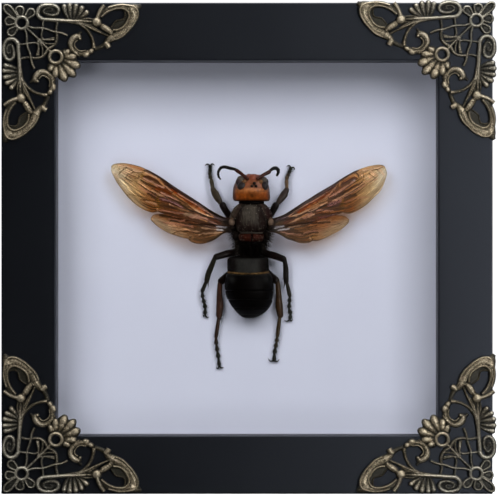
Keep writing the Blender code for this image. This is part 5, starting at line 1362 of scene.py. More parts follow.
# A crease: its tint, half width and rise in mm, strength, and its route from the (x, z) list
make_wing("forewing_left", 7.8, 3, FOREWING_CELLS, FOREWING_GROUND, FOREWING_STAIN,
    [(-5.2, 1.9), (-6.8, 2), (-8, 2.45), (-10, 3.5), (-12, 4.75), (-14, 6.1), (-16, 7.4), (-18, 8.7),
     (-20, 9.95), (-22, 11.3), (-24, 12.75), (-26, 14), (-28, 15.05), (-30, 15.95), (-32, 16.5),
     (-34, 16.9), (-35.5, 17), (-37, 16.85), (-37.9, 16.5), (-38.2, 16.1)],
    [(-5.2, -0.3), (-7, -0.25), (-8.6, -0.1), (-12, 0.5), (-17, 1.3), (-21, 2.4), (-24.5, 3.3),
     (-25.4, 3.75),
     (-26.2, 3.45), (-27.2, 3.45), (-28.4, 3.8), (-29.5, 4.3), (-30.8, 5.1), (-32.4, 6.4), (-34, 8),
      (-35.4, 9.9),
     (-36.6, 11.5), (-37.4, 13), (-38, 14.2), (-38.2, 15)], [
    (OXBLOOD, 0.9, 0, 0.4, [(-26.5, 10.4), (-24, 9.2), (-20.5, 7.8)]),
    (MOSS, 0.5, 0, 0.8, [(-37.3, 13.6), (-36, 11.2), (-34.2, 8.8), (-32.4, 7), (-30.5, 5.6), (-28.8, 4.7)]),
    (SEPIA, 0.9, -0.05, 0.55, [(-29.4, 6), (-27.8, 5.2), (-26.2, 4.6)]),
    (TAN, 0.3, 0, 0.8, [(-36.4, 16.5), (-34, 16.4), (-31.5, 15.9), (-29.8, 15.3)]),
    (RUST, 0.25, 0, 0.45, [(-33.5, 16.3), (-31, 15.6), (-29.4, 15)]),
    (CREAM_HIGHLIGHT, 0.17, 0.08, 0.9, [(-36.3, 16.5), (-35.5, 16.2), (-34, 15.95), (-33, 15.6), (-32, 14.95),
     (-31, 14.7), (-30, 14.65)]),
    (CREAM_HIGHLIGHT, 0.3, 0.06, 0.8, [(-33.9, 14.9), (-33.2, 14.7), (-32.6, 14.5)]),
    (CREAM_HIGHLIGHT, 0.22, 0.05, 0.6, [(-35.2, 14.4), (-34.5, 14.2), (-33.9, 14)]),
    (CREAM_HIGHLIGHT, 0.18, 0.05, 0.6, [(-35.6, 15.6), (-35.1, 15.4)]),
    (BEIGE, 0.3, 0, 0.6, [(-37.9, 14.3), (-37, 14), (-36.4, 13)]),
    (NET, 0.13, 0.05, 0.95, [(-36.2, 13.8), (-36, 14.3), (-35.2, 14.9), (-34.8, 15.5), (-34.3, 15.7),
     (-33.5, 15.45), (-32.8, 15.1), (-32.1, 14.6), (-31.3, 14.3), (-30.3, 14.35), (-29.4, 14.5)]),
    (NET, 0.13, 0.05, 0.95, [(-32.1, 14.5), (-32.6, 14.15), (-33.5, 13.9), (-34, 13.4), (-34.2, 13),
     (-33.8, 12.6), (-33, 12.3), (-32.2, 12)]),
    (NET, 0.12, 0.04, 0.7, [(-36.5, 15.1), (-36.2, 15.4), (-35.8, 15.3)]),
    (AMBER, 0.4, 0, 0.7, [(-33.2, 13.3), (-31.6, 13.3)]),
    (CREAM_HIGHLIGHT, 0.12, 0.05, 0.7, [(-33.8, 13.3), (-32.9, 13.85), (-32, 13.95), (-31.2, 14.05)]),
    (NET, 0.14, 0.04, 0.8, [(-30.6, 13.9), (-30.65, 13.2), (-31.1, 12.75), (-32, 12.75)]),
    (OLIVE, 0.42, -0.05, 0.8, [(-30, 13.9), (-29.6, 13.6), (-29.7, 13.1)]),
    (CREAM_HIGHLIGHT, 0.14, 0.06, 0.6, [(-36, 12.9), (-35, 12.6), (-34.2, 12.3), (-33.2, 11.8), (-32.5, 11.2)]),
    (OXBLOOD, 0.42, -0.06, 0.95, [(-29.1, 13.3), (-27.8, 13), (-26.5, 12.5), (-25.5, 12), (-24.8, 11.4)]),
    (UMBER, 0.2, -0.03, 0.9, [(-29, 13.3), (-28.2, 13.2), (-26.8, 12.3), (-25.6, 12.1), (-25, 11.5)]),
    (GOLD, 0.19, 0.09, 0.95, [(-28.8, 14.3), (-28, 14.1), (-27, 13.55), (-26, 12.95), (-25.1, 12.3),
     (-24.4, 11.5), (-23.9, 10.7), (-23.9, 10.3)]),
    (CREAM_HIGHLIGHT, 0.14, 0.04, 0.7, [(-28.8, 14.35), (-27.9, 14.1), (-26.8, 13.45), (-25.8, 12.85)]),
    (ROSE_HIGHLIGHT, 0.18, 0.08, 0.85, [(-29.3, 12.8), (-28.5, 12.4), (-27.5, 11.95), (-26.5, 11.35),
     (-25.5, 10.85), (-24.5, 10.45), (-23.7, 10.3)]),
    (OLIVE, 0.22, 0, 0.6, [(-28, 11.6), (-27, 11.5), (-26.4, 11.1)]),
    (UMBER, 0.24, -0.08, 0.85, [(-30.2, 12.3), (-29.2, 11.7), (-28, 11), (-26.8, 10.5), (-25.4, 9.9),
     (-24, 9.3), (-22.6, 8.7)]),
    (RUST, 0.3, 0, 0.45, [(-26, 10), (-24.2, 9.8), (-22.5, 8.9), (-21.5, 8.3)]),
    (CREAM_HIGHLIGHT, 0.15, 0.1, 0.95, [(-30.8, 12), (-30.3, 11.5), (-29.4, 10.8), (-28.7, 10.3), (-28, 9.75),
     (-27, 9.3), (-26, 8.8), (-25, 8.3), (-24, 8), (-23, 7.6)]),
    (CREAM_HIGHLIGHT, 0.22, 0.05, 0.6, [(-29.5, 11), (-29, 10.6)]),
    (UMBER, 0.13, -0.05, 0.85, [(-30.6, 11.4), (-29.7, 10.6), (-28.5, 9.75), (-27.4, 9.15), (-26, 8.45)]),
    (ROSE_HIGHLIGHT, 0.15, 0.08, 0.9, [(-30.8, 10.7), (-30, 10.1), (-29.3, 9.6), (-28.5, 9.2), (-27.6, 8.7),
     (-27, 8.3), (-26, 7.8), (-25.3, 7.3)]),
    (UMBER, 0.36, -0.08, 0.9, [(-28.3, 8.7), (-27.2, 8.1), (-26.3, 7.5), (-25.6, 6.9)]),
    (TAN, 0.2, 0.05, 0.7, [(-30, 8.5), (-28.6, 8), (-27.6, 7.5), (-26.4, 7)]),
    (NET, 0.12, 0.04, 0.7, [(-33.9, 8.3), (-32.5, 8.3), (-31, 8), (-29.5, 7.7), (-28, 7.4)]),
    (SEPIA, 0.2, -0.04, 0.8, [(-30.3, 6.9), (-28.8, 6.9), (-27.6, 6.7)]),
    (CREAM_HIGHLIGHT, 0.17, 0.07, 0.85, [(-28.6, 6.6), (-27.5, 6.25), (-26.6, 5.95), (-25.8, 5.6)]),
    (OLIVE, 0.3, 0, 0.8, [(-25.5, 8), (-25.4, 6.6), (-25.3, 5.2), (-25.4, 4.2)]),
    (CREAM_HIGHLIGHT, 0.15, 0.06, 0.8, [(-25.6, 4.5), (-25.5, 3.9)]),
    (VIOLET, 0.33, 0.06, 0.95, [(-29, 14.95), (-27, 14.25), (-25, 13.15), (-23, 11.75), (-20, 9.7),
     (-17, 7.75), (-14, 5.8), (-11, 3.85), (-9, 2.6), (-7, 1.7)]),
    (VIOLET, 0.4, -0.03, 0.9, [(-22.6, 10.9), (-20, 9.2), (-17, 7.2), (-14, 5.3), (-11.2, 3.35)]),
    (LILAC, 0.13, 0.07, 0.9, [(-22.4, 11.1), (-20, 9.45), (-17, 7.45), (-14, 5.5), (-12, 4.25)]),
    (LILAC, 0.1, 0.05, 0.7, [(-20.6, 9.35), (-18, 7.7), (-15, 5.75), (-13, 4.5)]),
    (RUST, 0.5, -0.04, 0.95, [(-21.6, 9.7), (-20, 8.35), (-18, 6.9), (-16, 5.5), (-14.2, 4.35),
     (-12.6, 3.4)]),
    (GOLD, 0.25, 0, 0.45, [(-16, 5.2), (-14.6, 4.3), (-13.2, 3.5)]),
    (OXBLOOD, 0.16, -0.05, 0.8, [(-21.2, 9.8), (-19, 8.2), (-17.5, 7.1)]),
    (PITCH, 0.15, -0.05, 0.85, [(-12.6, 3.6), (-11.5, 2.95), (-10.5, 2.45)]),
    (ROSE_HIGHLIGHT, 0.13, 0.08, 0.9, [(-20, 8.75), (-18, 7.4), (-16, 6.2), (-14, 4.95), (-12, 3.75), (-10.6, 2.7),
     (-10, 2.2)]),
    (GOLD, 0.15, 0.09, 0.95, [(-23.6, 10.8), (-22.5, 9.9), (-21.5, 9), (-20.5, 8.2), (-19.5, 7.4),
     (-18.2, 6.5), (-17, 5.6), (-16, 4.75), (-15.2, 4.25), (-14.4, 3.75), (-13.5, 3.2), (-12.5, 2.9),
     (-11.5, 2.5), (-10, 2.1)]),
    (ROSE_HIGHLIGHT, 0.13, 0.03, 0.7, [(-23.6, 10.8), (-22.5, 9.9), (-21.5, 9)]),
    (CREAM_HIGHLIGHT, 0.13, 0.03, 0.85, [(-15.6, 4.5), (-14.4, 3.75), (-13.4, 3.15), (-12.4, 2.85), (-11.2, 2.45)]),
    (AMBER, 0.3, 0, 0.7, [(-21.5, 8.2), (-19.5, 6.6), (-17.5, 5.1), (-16.4, 4.3)]),
    (PITCH, 0.17, -0.07, 0.9, [(-19, 5.4), (-18, 4.85), (-17, 4.2), (-16, 3.7), (-15, 3.65), (-14, 3.2),
     (-13, 2.6), (-12, 2.3), (-10.5, 1.8), (-8.3, 1.2)]),
    (ROSE_HIGHLIGHT, 0.17, 0.08, 0.8, [(-24.6, 9), (-22.8, 8), (-21.2, 7.3), (-19.8, 6.6)]),
    (UMBER, 0.2, -0.07, 0.85, [(-23.8, 7.9), (-22.2, 7.3), (-20.8, 6.6), (-19.4, 5.9)]),
    (PLUM, 0.2, 0.08, 0.9, [(-25, 7.35), (-23.6, 6.95), (-22.4, 6.65), (-21.2, 6.2), (-20, 5.6),
     (-19, 4.9), (-18.6, 4.5)]),
    (OXBLOOD, 0.16, -0.06, 0.9, [(-24.9, 6.9), (-23.6, 6.4), (-22.4, 6.15), (-20.8, 5.5), (-19.4, 4.7)]),
    (CREAM_HIGHLIGHT, 0.13, 0.06, 0.9, [(-22.3, 5.75), (-21.7, 5.45), (-21.2, 5.1)]),
    (UMBER, 0.3, -0.06, 0.85, [(-24.8, 5.4), (-23.4, 5), (-21.9, 4.75), (-20.6, 4.5)]),
    (TAN, 0.2, 0.05, 0.7, [(-21, 5), (-19.8, 4.6), (-18.8, 4.1), (-17.2, 3.9)]),
    (ROSE_HIGHLIGHT, 0.15, 0.08, 0.9, [(-25.1, 4.1), (-24, 3.95), (-22, 3.65), (-20, 3.3), (-18.4, 3.15),
     (-17.4, 3.1)]),
    (UMBER, 0.2, -0.06, 0.8, [(-24.6, 3.5), (-22.6, 3.15), (-20.6, 2.6), (-18.6, 2.4)]),
    (MOSS, 0.3, 0.03, 0.7, [(-18.2, 3), (-17, 2.9), (-16, 2.6)]),
    (ROSE_HIGHLIGHT, 0.32, 0.04, 0.8, [(-16.6, 2.3), (-15.2, 2.4), (-13.8, 2.1)]),
    (CREAM_HIGHLIGHT, 0.11, 0.05, 0.85, [(-16, 2), (-15.3, 2.35), (-14.8, 2.7)]),
    (UMBER, 0.14, -0.05, 0.8, [(-16.4, 1.6), (-15.6, 1.7), (-15, 1.5), (-14.2, 1.1)]),
    (ROSE_HIGHLIGHT, 0.16, 0.07, 0.9, [(-13.6, 2.2), (-12.4, 1.75), (-11.2, 1.15), (-10, 0.5), (-9, 0.1)]),
    (GOLD, 0.13, 0.05, 0.8, [(-14, 1.7), (-13, 1.3), (-12, 1)]),
    (OXBLOOD, 0.4, 0, 0.7, [(-11.5, 1.5), (-9.8, 1), (-8.4, 0.5)]),
    (LILAC, 0.2, 0.05, 0.8, [(-10.2, 2.3), (-9, 1.95), (-8, 1.7), (-7, 1.5)]),
    (PITCH, 0.3, 0.04, 0.85, [(-12.6, 4.9), (-10, 3.2), (-8, 2.2), (-6, 1.7)]),
    (PITCH, 0.6, 0, 0.85, [(-7.2, 1), (-6, 0.7), (-5.2, 0.6)])])
make_wing("hindwing_left", 6.9, 11, HINDWING_CELLS, HINDWING_GROUND, HINDWING_STAIN,
    [(-5.2, -0.3), (-7, -0.35), (-10, 0.35), (-14, 1.3), (-17, 2.1), (-20, 2.9), (-24, 3.1), (-25.6, 3.1),
     (-26.6, 2.9), (-27.2, 2.4), (-27.4, 1.9)],
    [(-5.2, -2), (-6.6, -2), (-7.6, -2.3), (-8.5, -2.9), (-9.6, -3.8), (-11, -4.5), (-12.7, -5),
     (-14, -5.15),
     (-15.2, -5), (-16.3, -4.65), (-16.9, -4.2), (-17.3, -3.6), (-17.6, -3.65), (-18.4, -3.55),
      (-19.6, -3.2),
     (-21.4, -2.6), (-23.1, -1.9), (-25.2, -0.6), (-26.9, 0.9), (-27.35, 1.5)], [
    (MOSS, 0.8, 0, 0.9, [(-26.8, 1.2), (-25.2, 0.1), (-23.4, -1.1), (-21.6, -2)]),
    (BEIGE, 0.14, 0.04, 0.7, [(-26.3, 2.6), (-27, 2), (-26.7, 1.2), (-25.4, 0), (-23.6, -1.4)]),
    (UMBER, 0.24, -0.06, 0.85, [(-25, 2.7), (-23.4, 2.4), (-21.8, 2.1), (-20.2, 1.75), (-18.6, 1.5)]),
    (ROSE_HIGHLIGHT, 0.15, 0.08, 0.9, [(-22.6, 1.75), (-21.5, 1.5), (-20.2, 1.3), (-19.2, 1.2), (-18.2, 1.25)]),
    (ROSE_HIGHLIGHT, 0.14, 0.07, 0.8, [(-21.8, 2.7), (-20.2, 2.4), (-18.8, 2), (-17.8, 1.7)]),
    (PLUM, 0.14, 0.05, 0.8, [(-18.4, 1.9), (-17.2, 1.6), (-16.2, 1.5)]),
    (PITCH, 0.18, -0.08, 0.9, [(-22.4, 1.2), (-20.5, 0.9), (-18.5, 0.6), (-17, 0.3), (-15, 0.15),
     (-13, 0.1), (-11.5, 0.1), (-10, 0.1), (-9, -0.1)]),
    (PITCH, 0.15, -0.05, 0.7, [(-18, 1.25), (-16.6, 1.2), (-15.6, 1.3)]),
    (ROSE_HIGHLIGHT, 0.2, 0.08, 0.85, [(-24, 0.7), (-22, 0.5), (-20, 0.2), (-18, -0.05), (-16.6, -0.3), (-16, -0.5)]),
    (CREAM_HIGHLIGHT, 0.12, 0.05, 0.7, [(-21.4, 0.2), (-20.9, -0.05), (-20.5, -0.3)]),
    (UMBER, 0.12, -0.03, 0.7, [(-20.75, 0.3), (-20.4, 0.05)]),
    (ROSE_HIGHLIGHT, 0.13, 0.06, 0.7, [(-12.8, -0.2), (-11.4, -0.45), (-10, -0.7), (-8.8, -0.9)]),
    (PITCH, 0.12, -0.06, 0.85, [(-13.8, -0.15), (-12.4, -0.35), (-11, -0.6), (-9.5, -0.82), (-8.2, -1),
     (-6.8, -1.2)]),
    (CREAM_HIGHLIGHT, 0.13, 0.07, 0.8, [(-13.6, -0.75), (-12, -0.95), (-10.4, -1.1), (-9, -1.2)]),
    (CHALK_GLINT, 0.2, 0.06, 0.9, [(-9.4, -0.35), (-8.4, -0.5), (-7.5, -0.55), (-6.7, -0.6)]),
    (CHALK_GLINT, 0.13, 0.04, 0.8, [(-9.4, -1.15), (-8.4, -1.2), (-7.5, -1.4)]),
    (UMBER, 0.2, -0.06, 0.8, [(-13.2, -1.45), (-11, -1.5), (-9, -1.6), (-7.8, -1.7)]),
    (CREAM_HIGHLIGHT, 0.16, 0.09, 0.85, [(-20.6, -1.25), (-19.1, -1.05), (-18, -1.1), (-17, -1.2), (-16, -1.5),
     (-15.1, -1.78), (-14.3, -1.8)]),
    (CREAM_HIGHLIGHT, 0.2, 0.04, 0.6, [(-15.2, -1.78), (-14.8, -1.78)]),
    (UMBER, 0.17, -0.07, 0.85, [(-18.2, -1.6), (-16.8, -1.7), (-15.7, -2.1), (-14.5, -2.15),
     (-13, -1.95), (-11, -1.9)]),
    (NET, 0.12, 0.05, 0.85, [(-21.6, -2.6), (-21, -2.1), (-20.2, -1.8), (-19.3, -1.65), (-18.5, -1.75),
     (-17.5, -2.1), (-17, -2.5)]),
    (MOSS, 0.5, 0, 0.6, [(-20.4, -2.5), (-18.8, -2.9)]),
    (BEIGE, 0.13, 0.04, 0.7, [(-19.6, -2), (-18.4, -2.1), (-17.6, -2.5)]),
    (CREAM_HIGHLIGHT, 0.15, 0.08, 0.85, [(-14.2, -2.55), (-13.2, -2.35), (-12, -2.2), (-10.5, -2.15), (-9, -2.1),
     (-8, -2)]),
    (SEPIA, 0.15, -0.05, 0.8, [(-14.2, -2.85), (-12, -2.75), (-10.5, -2.5), (-9.2, -2.35)]),
    (TAN, 0.18, 0.05, 0.8, [(-12.4, -3.25), (-10.6, -2.95), (-9.4, -2.6), (-8.3, -2.25)]),
    (SEPIA, 1, 0, 0.55, [(-15.4, -3.9), (-13.2, -4.1), (-11.2, -3.8)]),
    (BEIGE, 0.14, 0.05, 0.7, [(-16.3, -2.7), (-17.1, -3.2), (-16.9, -4.1), (-16.2, -4.6)]),
    (NET, 0.12, -0.04, 0.8, [(-16.2, -2.95), (-16.75, -3.3), (-16.6, -3.9)]),
    (PITCH, 0.22, -0.04, 0.85, [(-11.8, -4.55), (-10.8, -4.25), (-9.9, -3.8), (-9, -3.15), (-8.2, -2.6),
     (-7.4, -2.2)]),
    (PITCH, 0.5, 0, 0.8, [(-6.6, -1.7), (-5.2, -1.6)])])
make_wing("forewing_right", 7.8, 23, FOREWING_CELLS, FOREWING_GROUND, FOREWING_STAIN,
    [(5.2, 1.9), (6.4, 1.95), (8, 2.45), (9, 2.9), (10, 3.5), (12, 4.8), (14, 6.15), (16, 7.35), (18, 8.65),
     (20, 9.8), (22, 10.95), (24, 12.3), (26, 13.55), (28, 14.65), (30, 15.45), (32, 16.1), (34, 16.5),
     (35.4, 16.55), (36.2, 16.35), (36.5, 16)],
    [(5.2, -0.3), (7, -0.25), (8.6, -0.1), (12, 0.6), (16.5, 1.2), (21, 2.2), (24.2, 3.1), (25, 3.5),
     (25.6, 3.2),
     (27, 3.15), (28, 3.5), (29, 3.95), (30, 4.55), (31, 5.2), (32, 6), (33, 7), (34, 8),
     (34.9, 8.75), (35.7, 9.9), (36.2, 11), (36.6, 12.2), (37, 13.3), (37.15, 14.2), (36.95, 15)], [
    (MOSS, 0.6, 0, 0.8, [(36.4, 12.6), (35.4, 10.6), (34, 8.9), (32.6, 7.4), (31, 6), (29.6, 4.9)]),
    (SEPIA, 1, -0.05, 0.5, [(29.6, 6.2), (27.8, 5.4), (26, 4.4)]),
    (RUST, 0.35, 0, 0.2, [(28, 4.5), (26.6, 4.5)]),
    (TAN, 0.3, 0, 0.8, [(36, 16.1), (34, 16.1), (32, 15.6), (29.6, 14.7)]),
    (CREAM_HIGHLIGHT, 0.15, 0.05, 0.8, [(36, 16.05), (34.6, 15.6), (33.2, 15.4), (32, 15.1), (30.6, 14.9)]),
    (NET, 0.13, 0.05, 0.95, [(36, 15.9), (35.2, 15.5), (34.3, 15.2), (33.4, 15.1), (32.8, 14.8),
     (32.2, 14.35), (32, 14.1)]),
    (NET, 0.11, 0.04, 0.7, [(34.4, 15.2), (34.9, 14.7), (35.3, 14.2)]),
    (NET, 0.13, 0.05, 0.9, [(32, 14.1), (32.6, 13.8), (33.2, 13.5), (33.6, 13.2), (34, 12.9)]),
    (NET, 0.2, 0, 0.6, [(33.9, 14.1), (34.2, 14.1)]),
    (CREAM_HIGHLIGHT, 0.3, 0.05, 0.75, [(32.8, 14.6), (33.5, 14), (34.4, 13.6)]),
    (ROSE_HIGHLIGHT, 0.28, 0.04, 0.7, [(32.3, 13.2), (32.9, 13)]),
    (CREAM_HIGHLIGHT, 0.22, 0.04, 0.7, [(35, 15.1), (35.6, 14.8), (36.4, 13.6)]),
    (GOLD, 0.12, 0.05, 0.8, [(32, 14.05), (31, 14.05), (30, 14), (29.2, 14.2)]),
    (NET, 0.12, 0.04, 0.8, [(30.7, 13.9), (30.75, 13), (30.6, 12.4), (31.2, 12.2)]),
    (MOSS, 0.4, 0, 0.7, [(31.4, 13.2), (32, 12.8)]),
    (CREAM_HIGHLIGHT, 0.2, 0.05, 0.75, [(30.2, 13.9), (30.3, 13.4)]),
    (ROSE_HIGHLIGHT, 0.12, 0.05, 0.8, [(34.4, 12.7), (33.2, 12.2), (32, 12), (31.2, 12)]),
    (CREAM_HIGHLIGHT, 0.13, 0.05, 0.8, [(33, 11.6), (32.5, 11.3), (32.2, 11.5)]),
    (UMBER, 0.16, -0.05, 0.85, [(28.2, 14.5), (28.9, 14), (29.4, 13.5), (29.3, 13.1)]),
    (OLIVE, 0.35, 0, 0.6, [(30.2, 12.8), (29.4, 12.2), (28.8, 11.9)]),
    (OXBLOOD, 0.45, -0.06, 0.95, [(24.8, 11.3), (26, 11.85), (27, 12.4), (28, 12.9), (28.7, 12.85)]),
    (UMBER, 0.22, -0.03, 0.85, [(24.6, 11), (26, 11.6), (27, 12.2), (28, 12.9)]),
    (GOLD, 0.17, 0.09, 0.95, [(24.1, 10.7), (24.3, 11.5), (25, 12.1), (25.8, 12.7), (26.6, 13.15),
     (27.4, 13.55), (28, 13.7), (28.7, 13.5), (29.1, 13.1), (29.2, 12.8)]),
    (RUST, 0.16, 0, 0.6, [(24.8, 12), (25.4, 12.4)]),
    (ROSE_HIGHLIGHT, 0.22, 0.08, 0.9, [(28.2, 12.3), (27.6, 11.7), (27, 11.1), (26.2, 10.6), (25.3, 10),
     (24.5, 9.4), (23.6, 8.8), (22.6, 8.3), (21.4, 7.6)]),
    (CHALK_GLINT, 0.17, 0.04, 0.6, [(28.25, 12.35), (27.9, 12.05)]),
    (UMBER, 0.14, -0.05, 0.6, [(27.3, 10.9), (26, 10.1), (24.8, 9.2), (23.4, 8.4)]),
    (UMBER, 0.27, -0.08, 0.9, [(30.5, 11.8), (29.5, 11.1), (28.3, 10.6), (27, 9.9), (26, 9.3),
     (25, 8.65), (24, 8.1), (23, 7.5), (22, 6.9)]),
    (CREAM_HIGHLIGHT, 0.15, 0.1, 0.95, [(31.2, 11.9), (30.4, 11.2), (29.6, 10.7), (28.8, 10.1), (28, 9.6), (27, 9),
     (26, 8.5), (25.2, 8.1), (24.3, 7.6), (23.3, 7.1), (22.3, 6.7)]),
    (ROSE_HIGHLIGHT, 0.13, 0.07, 0.9, [(31.4, 11.2), (30.3, 10.5), (29, 9.8), (28, 9.2), (27, 8.6), (26, 8.05),
     (25.2, 7.6)]),
    (UMBER, 0.12, -0.05, 0.8, [(31, 11.4), (30, 10.7), (28.6, 9.85), (27.2, 8.95), (25.8, 8.2)]),
    (UMBER, 0.38, -0.08, 0.9, [(28.6, 8.3), (27.4, 7.9), (26.3, 7.4), (25.4, 6.9)]),
    (ROSE_HIGHLIGHT, 0.14, 0.07, 0.8, [(32.4, 7.7), (30.5, 7.55), (29, 7.4), (28, 7.1), (27, 6.75), (26, 6.3),
     (25.1, 6)]),
    (NET, 0.12, 0.03, 0.5, [(32.6, 11.1), (32.4, 10.2), (32.5, 9.2)]),
    (PLUM, 0.4, 0.06, 0.9, [(21.2, 5.4), (22.2, 5.8), (23.2, 6.2), (24.2, 6.7), (24.7, 7.1)]),
    (ROSE_HIGHLIGHT, 0.12, 0.05, 0.8, [(23, 6.8), (24, 7.1), (24.7, 7.3)]),
    (OXBLOOD, 0.1, -0.05, 0.8, [(23.9, 6.9), (23.6, 6.4), (23.3, 5.9)]),
    (OXBLOOD, 0.1, -0.05, 0.8, [(23.1, 6.5), (22.7, 5.9), (22.3, 5.5)]),
    (OXBLOOD, 0.1, -0.05, 0.8, [(22.3, 6.1), (21.7, 5.6)]),
    (UMBER, 0.24, -0.07, 0.9, [(24.6, 5.7), (23.6, 5.3), (22.5, 4.95), (21, 4.8), (19.4, 4.5)]),
    (OLIVE, 0.3, 0, 0.8, [(25, 7.2), (25, 6.2), (24.9, 5.2), (24.9, 4.3)]),
    (GOLD, 0.14, 0.07, 0.85, [(25.1, 4), (24, 3.8), (23, 3.65), (22, 3.55), (20.6, 3.6), (19.2, 3.8)]),
    (UMBER, 0.2, -0.06, 0.85, [(25.1, 4.4), (23.4, 4.3), (21.6, 4.2), (20, 4.1), (18.4, 3.7)]),
    (UMBER, 0.2, -0.06, 0.8, [(24.6, 3.4), (22.6, 3.1), (20.4, 2.9), (18.4, 2.9), (16.8, 2.5)]),
    (PLUM, 0.15, 0.06, 0.8, [(22.6, 2.8), (21.5, 2.55), (20.3, 2.3), (19.3, 2.15), (18.5, 2)]),
    (VIOLET, 0.33, 0.06, 0.95, [(29, 14.85), (27, 13.9), (24.5, 12.3), (22, 10.65), (20, 9.45),
     (18, 8.3), (16, 7), (14, 5.8), (12, 4.5), (10, 3.2), (8.5, 2.4), (7, 1.8)]),
    (VIOLET, 0.4, -0.03, 0.9, [(23, 10.7), (21, 9.4), (18, 7.7), (15, 5.9), (12, 4.05), (10.8, 3.2)]),
    (LILAC, 0.13, 0.07, 0.9, [(22.5, 10.6), (20, 9.1), (17, 7.25), (14.5, 5.75), (12.5, 4.55)]),
    (LILAC, 0.1, 0.05, 0.7, [(20, 8.75), (18, 7.6), (15, 5.75), (13, 4.5)]),
    (RUST, 0.5, -0.04, 0.95, [(22.3, 9.7), (20.5, 8.3), (19, 7.25), (17.5, 6.2), (16, 5.2), (14.5, 4.2),
     (12.8, 3.3)]),
    (GOLD, 0.2, 0, 0.4, [(17.6, 6.2), (16.2, 5.2), (15, 4.5)]),
    (OXBLOOD, 0.16, -0.05, 0.8, [(22.6, 10.3), (21, 9), (19.2, 7.7), (17.6, 6.6)]),
    (PITCH, 0.15, -0.05, 0.85, [(12.4, 3.4), (11.5, 2.85), (10.5, 2.4)]),
    (ROSE_HIGHLIGHT, 0.13, 0.08, 0.9, [(21.4, 9.4), (20, 8.5), (18, 7.25), (16, 6.15), (14, 4.95), (12, 3.75),
     (10.6, 2.7), (10, 2.25)]),
    (GOLD, 0.15, 0.09, 0.95, [(23.6, 11), (22.7, 9.9), (21.9, 9), (21, 8.05), (20, 7.2), (19, 6.6),
     (18, 5.95), (17, 5.25), (16, 4.5), (15, 3.9), (14, 3.4), (13, 2.95), (12, 2.6), (10.4, 2.3)]),
    (ROSE_HIGHLIGHT, 0.14, 0.03, 0.85, [(23.2, 10.5), (22.2, 9.3), (21, 8.05), (19.8, 7.1)]),
    (CREAM_HIGHLIGHT, 0.13, 0.03, 0.85, [(16, 4.4), (15, 3.85), (14, 3.35), (12.8, 2.85), (11.4, 2.5)]),
    (TAN, 0.32, 0, 0.8, [(20.8, 7.2), (19.2, 6.3), (17.6, 5.3), (16.6, 4.7)]),
    (CREAM_HIGHLIGHT, 0.13, 0.07, 0.9, [(20.9, 6.3), (20, 5.9), (19, 5.3), (18, 4.7), (17, 4.1), (16.2, 3.75),
     (15.7, 3.65)]),
    (PITCH, 0.17, -0.07, 0.95, [(20.6, 5.6), (19.3, 4.9), (18, 4.2), (17, 3.75), (16, 3.4), (15.3, 3.4),
     (14.5, 3.05), (13.5, 2.6), (12.5, 2.2), (11.5, 1.9), (10.3, 1.6), (9, 1.35), (8.4, 1.2)]),
    (ROSE_HIGHLIGHT, 0.15, 0.06, 0.8, [(22.4, 3.9), (20.6, 4), (19, 4.1), (18, 4)]),
    (CREAM_HIGHLIGHT, 0.2, 0.04, 0.7, [(17.2, 3), (16.4, 2.7), (15.6, 2.2)]),
    (ROSE_HIGHLIGHT, 0.3, 0.04, 0.7, [(16.8, 3.1), (15.4, 2.7), (14.2, 2.1)]),
    (UMBER, 0.2, -0.05, 0.8, [(17.4, 1.6), (16.2, 1.5), (15.2, 1.4), (14.4, 1.1)]),
    (GOLD, 0.17, 0.06, 0.85, [(15.2, 2.9), (14, 2.3), (13.2, 1.9), (12.3, 1.5), (11.3, 0.95),
     (10.3, 0.35), (9.6, 0)]),
    (CREAM_HIGHLIGHT, 0.11, 0.03, 0.7, [(13.8, 2.1), (12.6, 1.6), (11.3, 0.95), (10, 0.25)]),
    (TAN, 0.2, 0.04, 0.7, [(14.6, 1.3), (13.6, 1.15), (12.4, 0.9)]),
    (OXBLOOD, 0.35, 0, 0.7, [(11.2, 1.4), (9.8, 0.9), (9, 0.5)]),
    (LILAC, 0.2, 0.05, 0.85, [(10.2, 2.3), (9, 2), (8, 1.75), (6.8, 1.55)]),
    (NET, 0.3, 0.02, 0.4, [(8.6, 0.5), (7.6, 0.5), (6.9, 0.5)]),
    (PITCH, 0.3, 0.04, 0.85, [(12.6, 4.9), (10, 3.2), (8, 2.2), (6, 1.7)]),
    (PITCH, 0.5, 0, 0.8, [(6.8, 0.9), (5.2, 0.8)])])
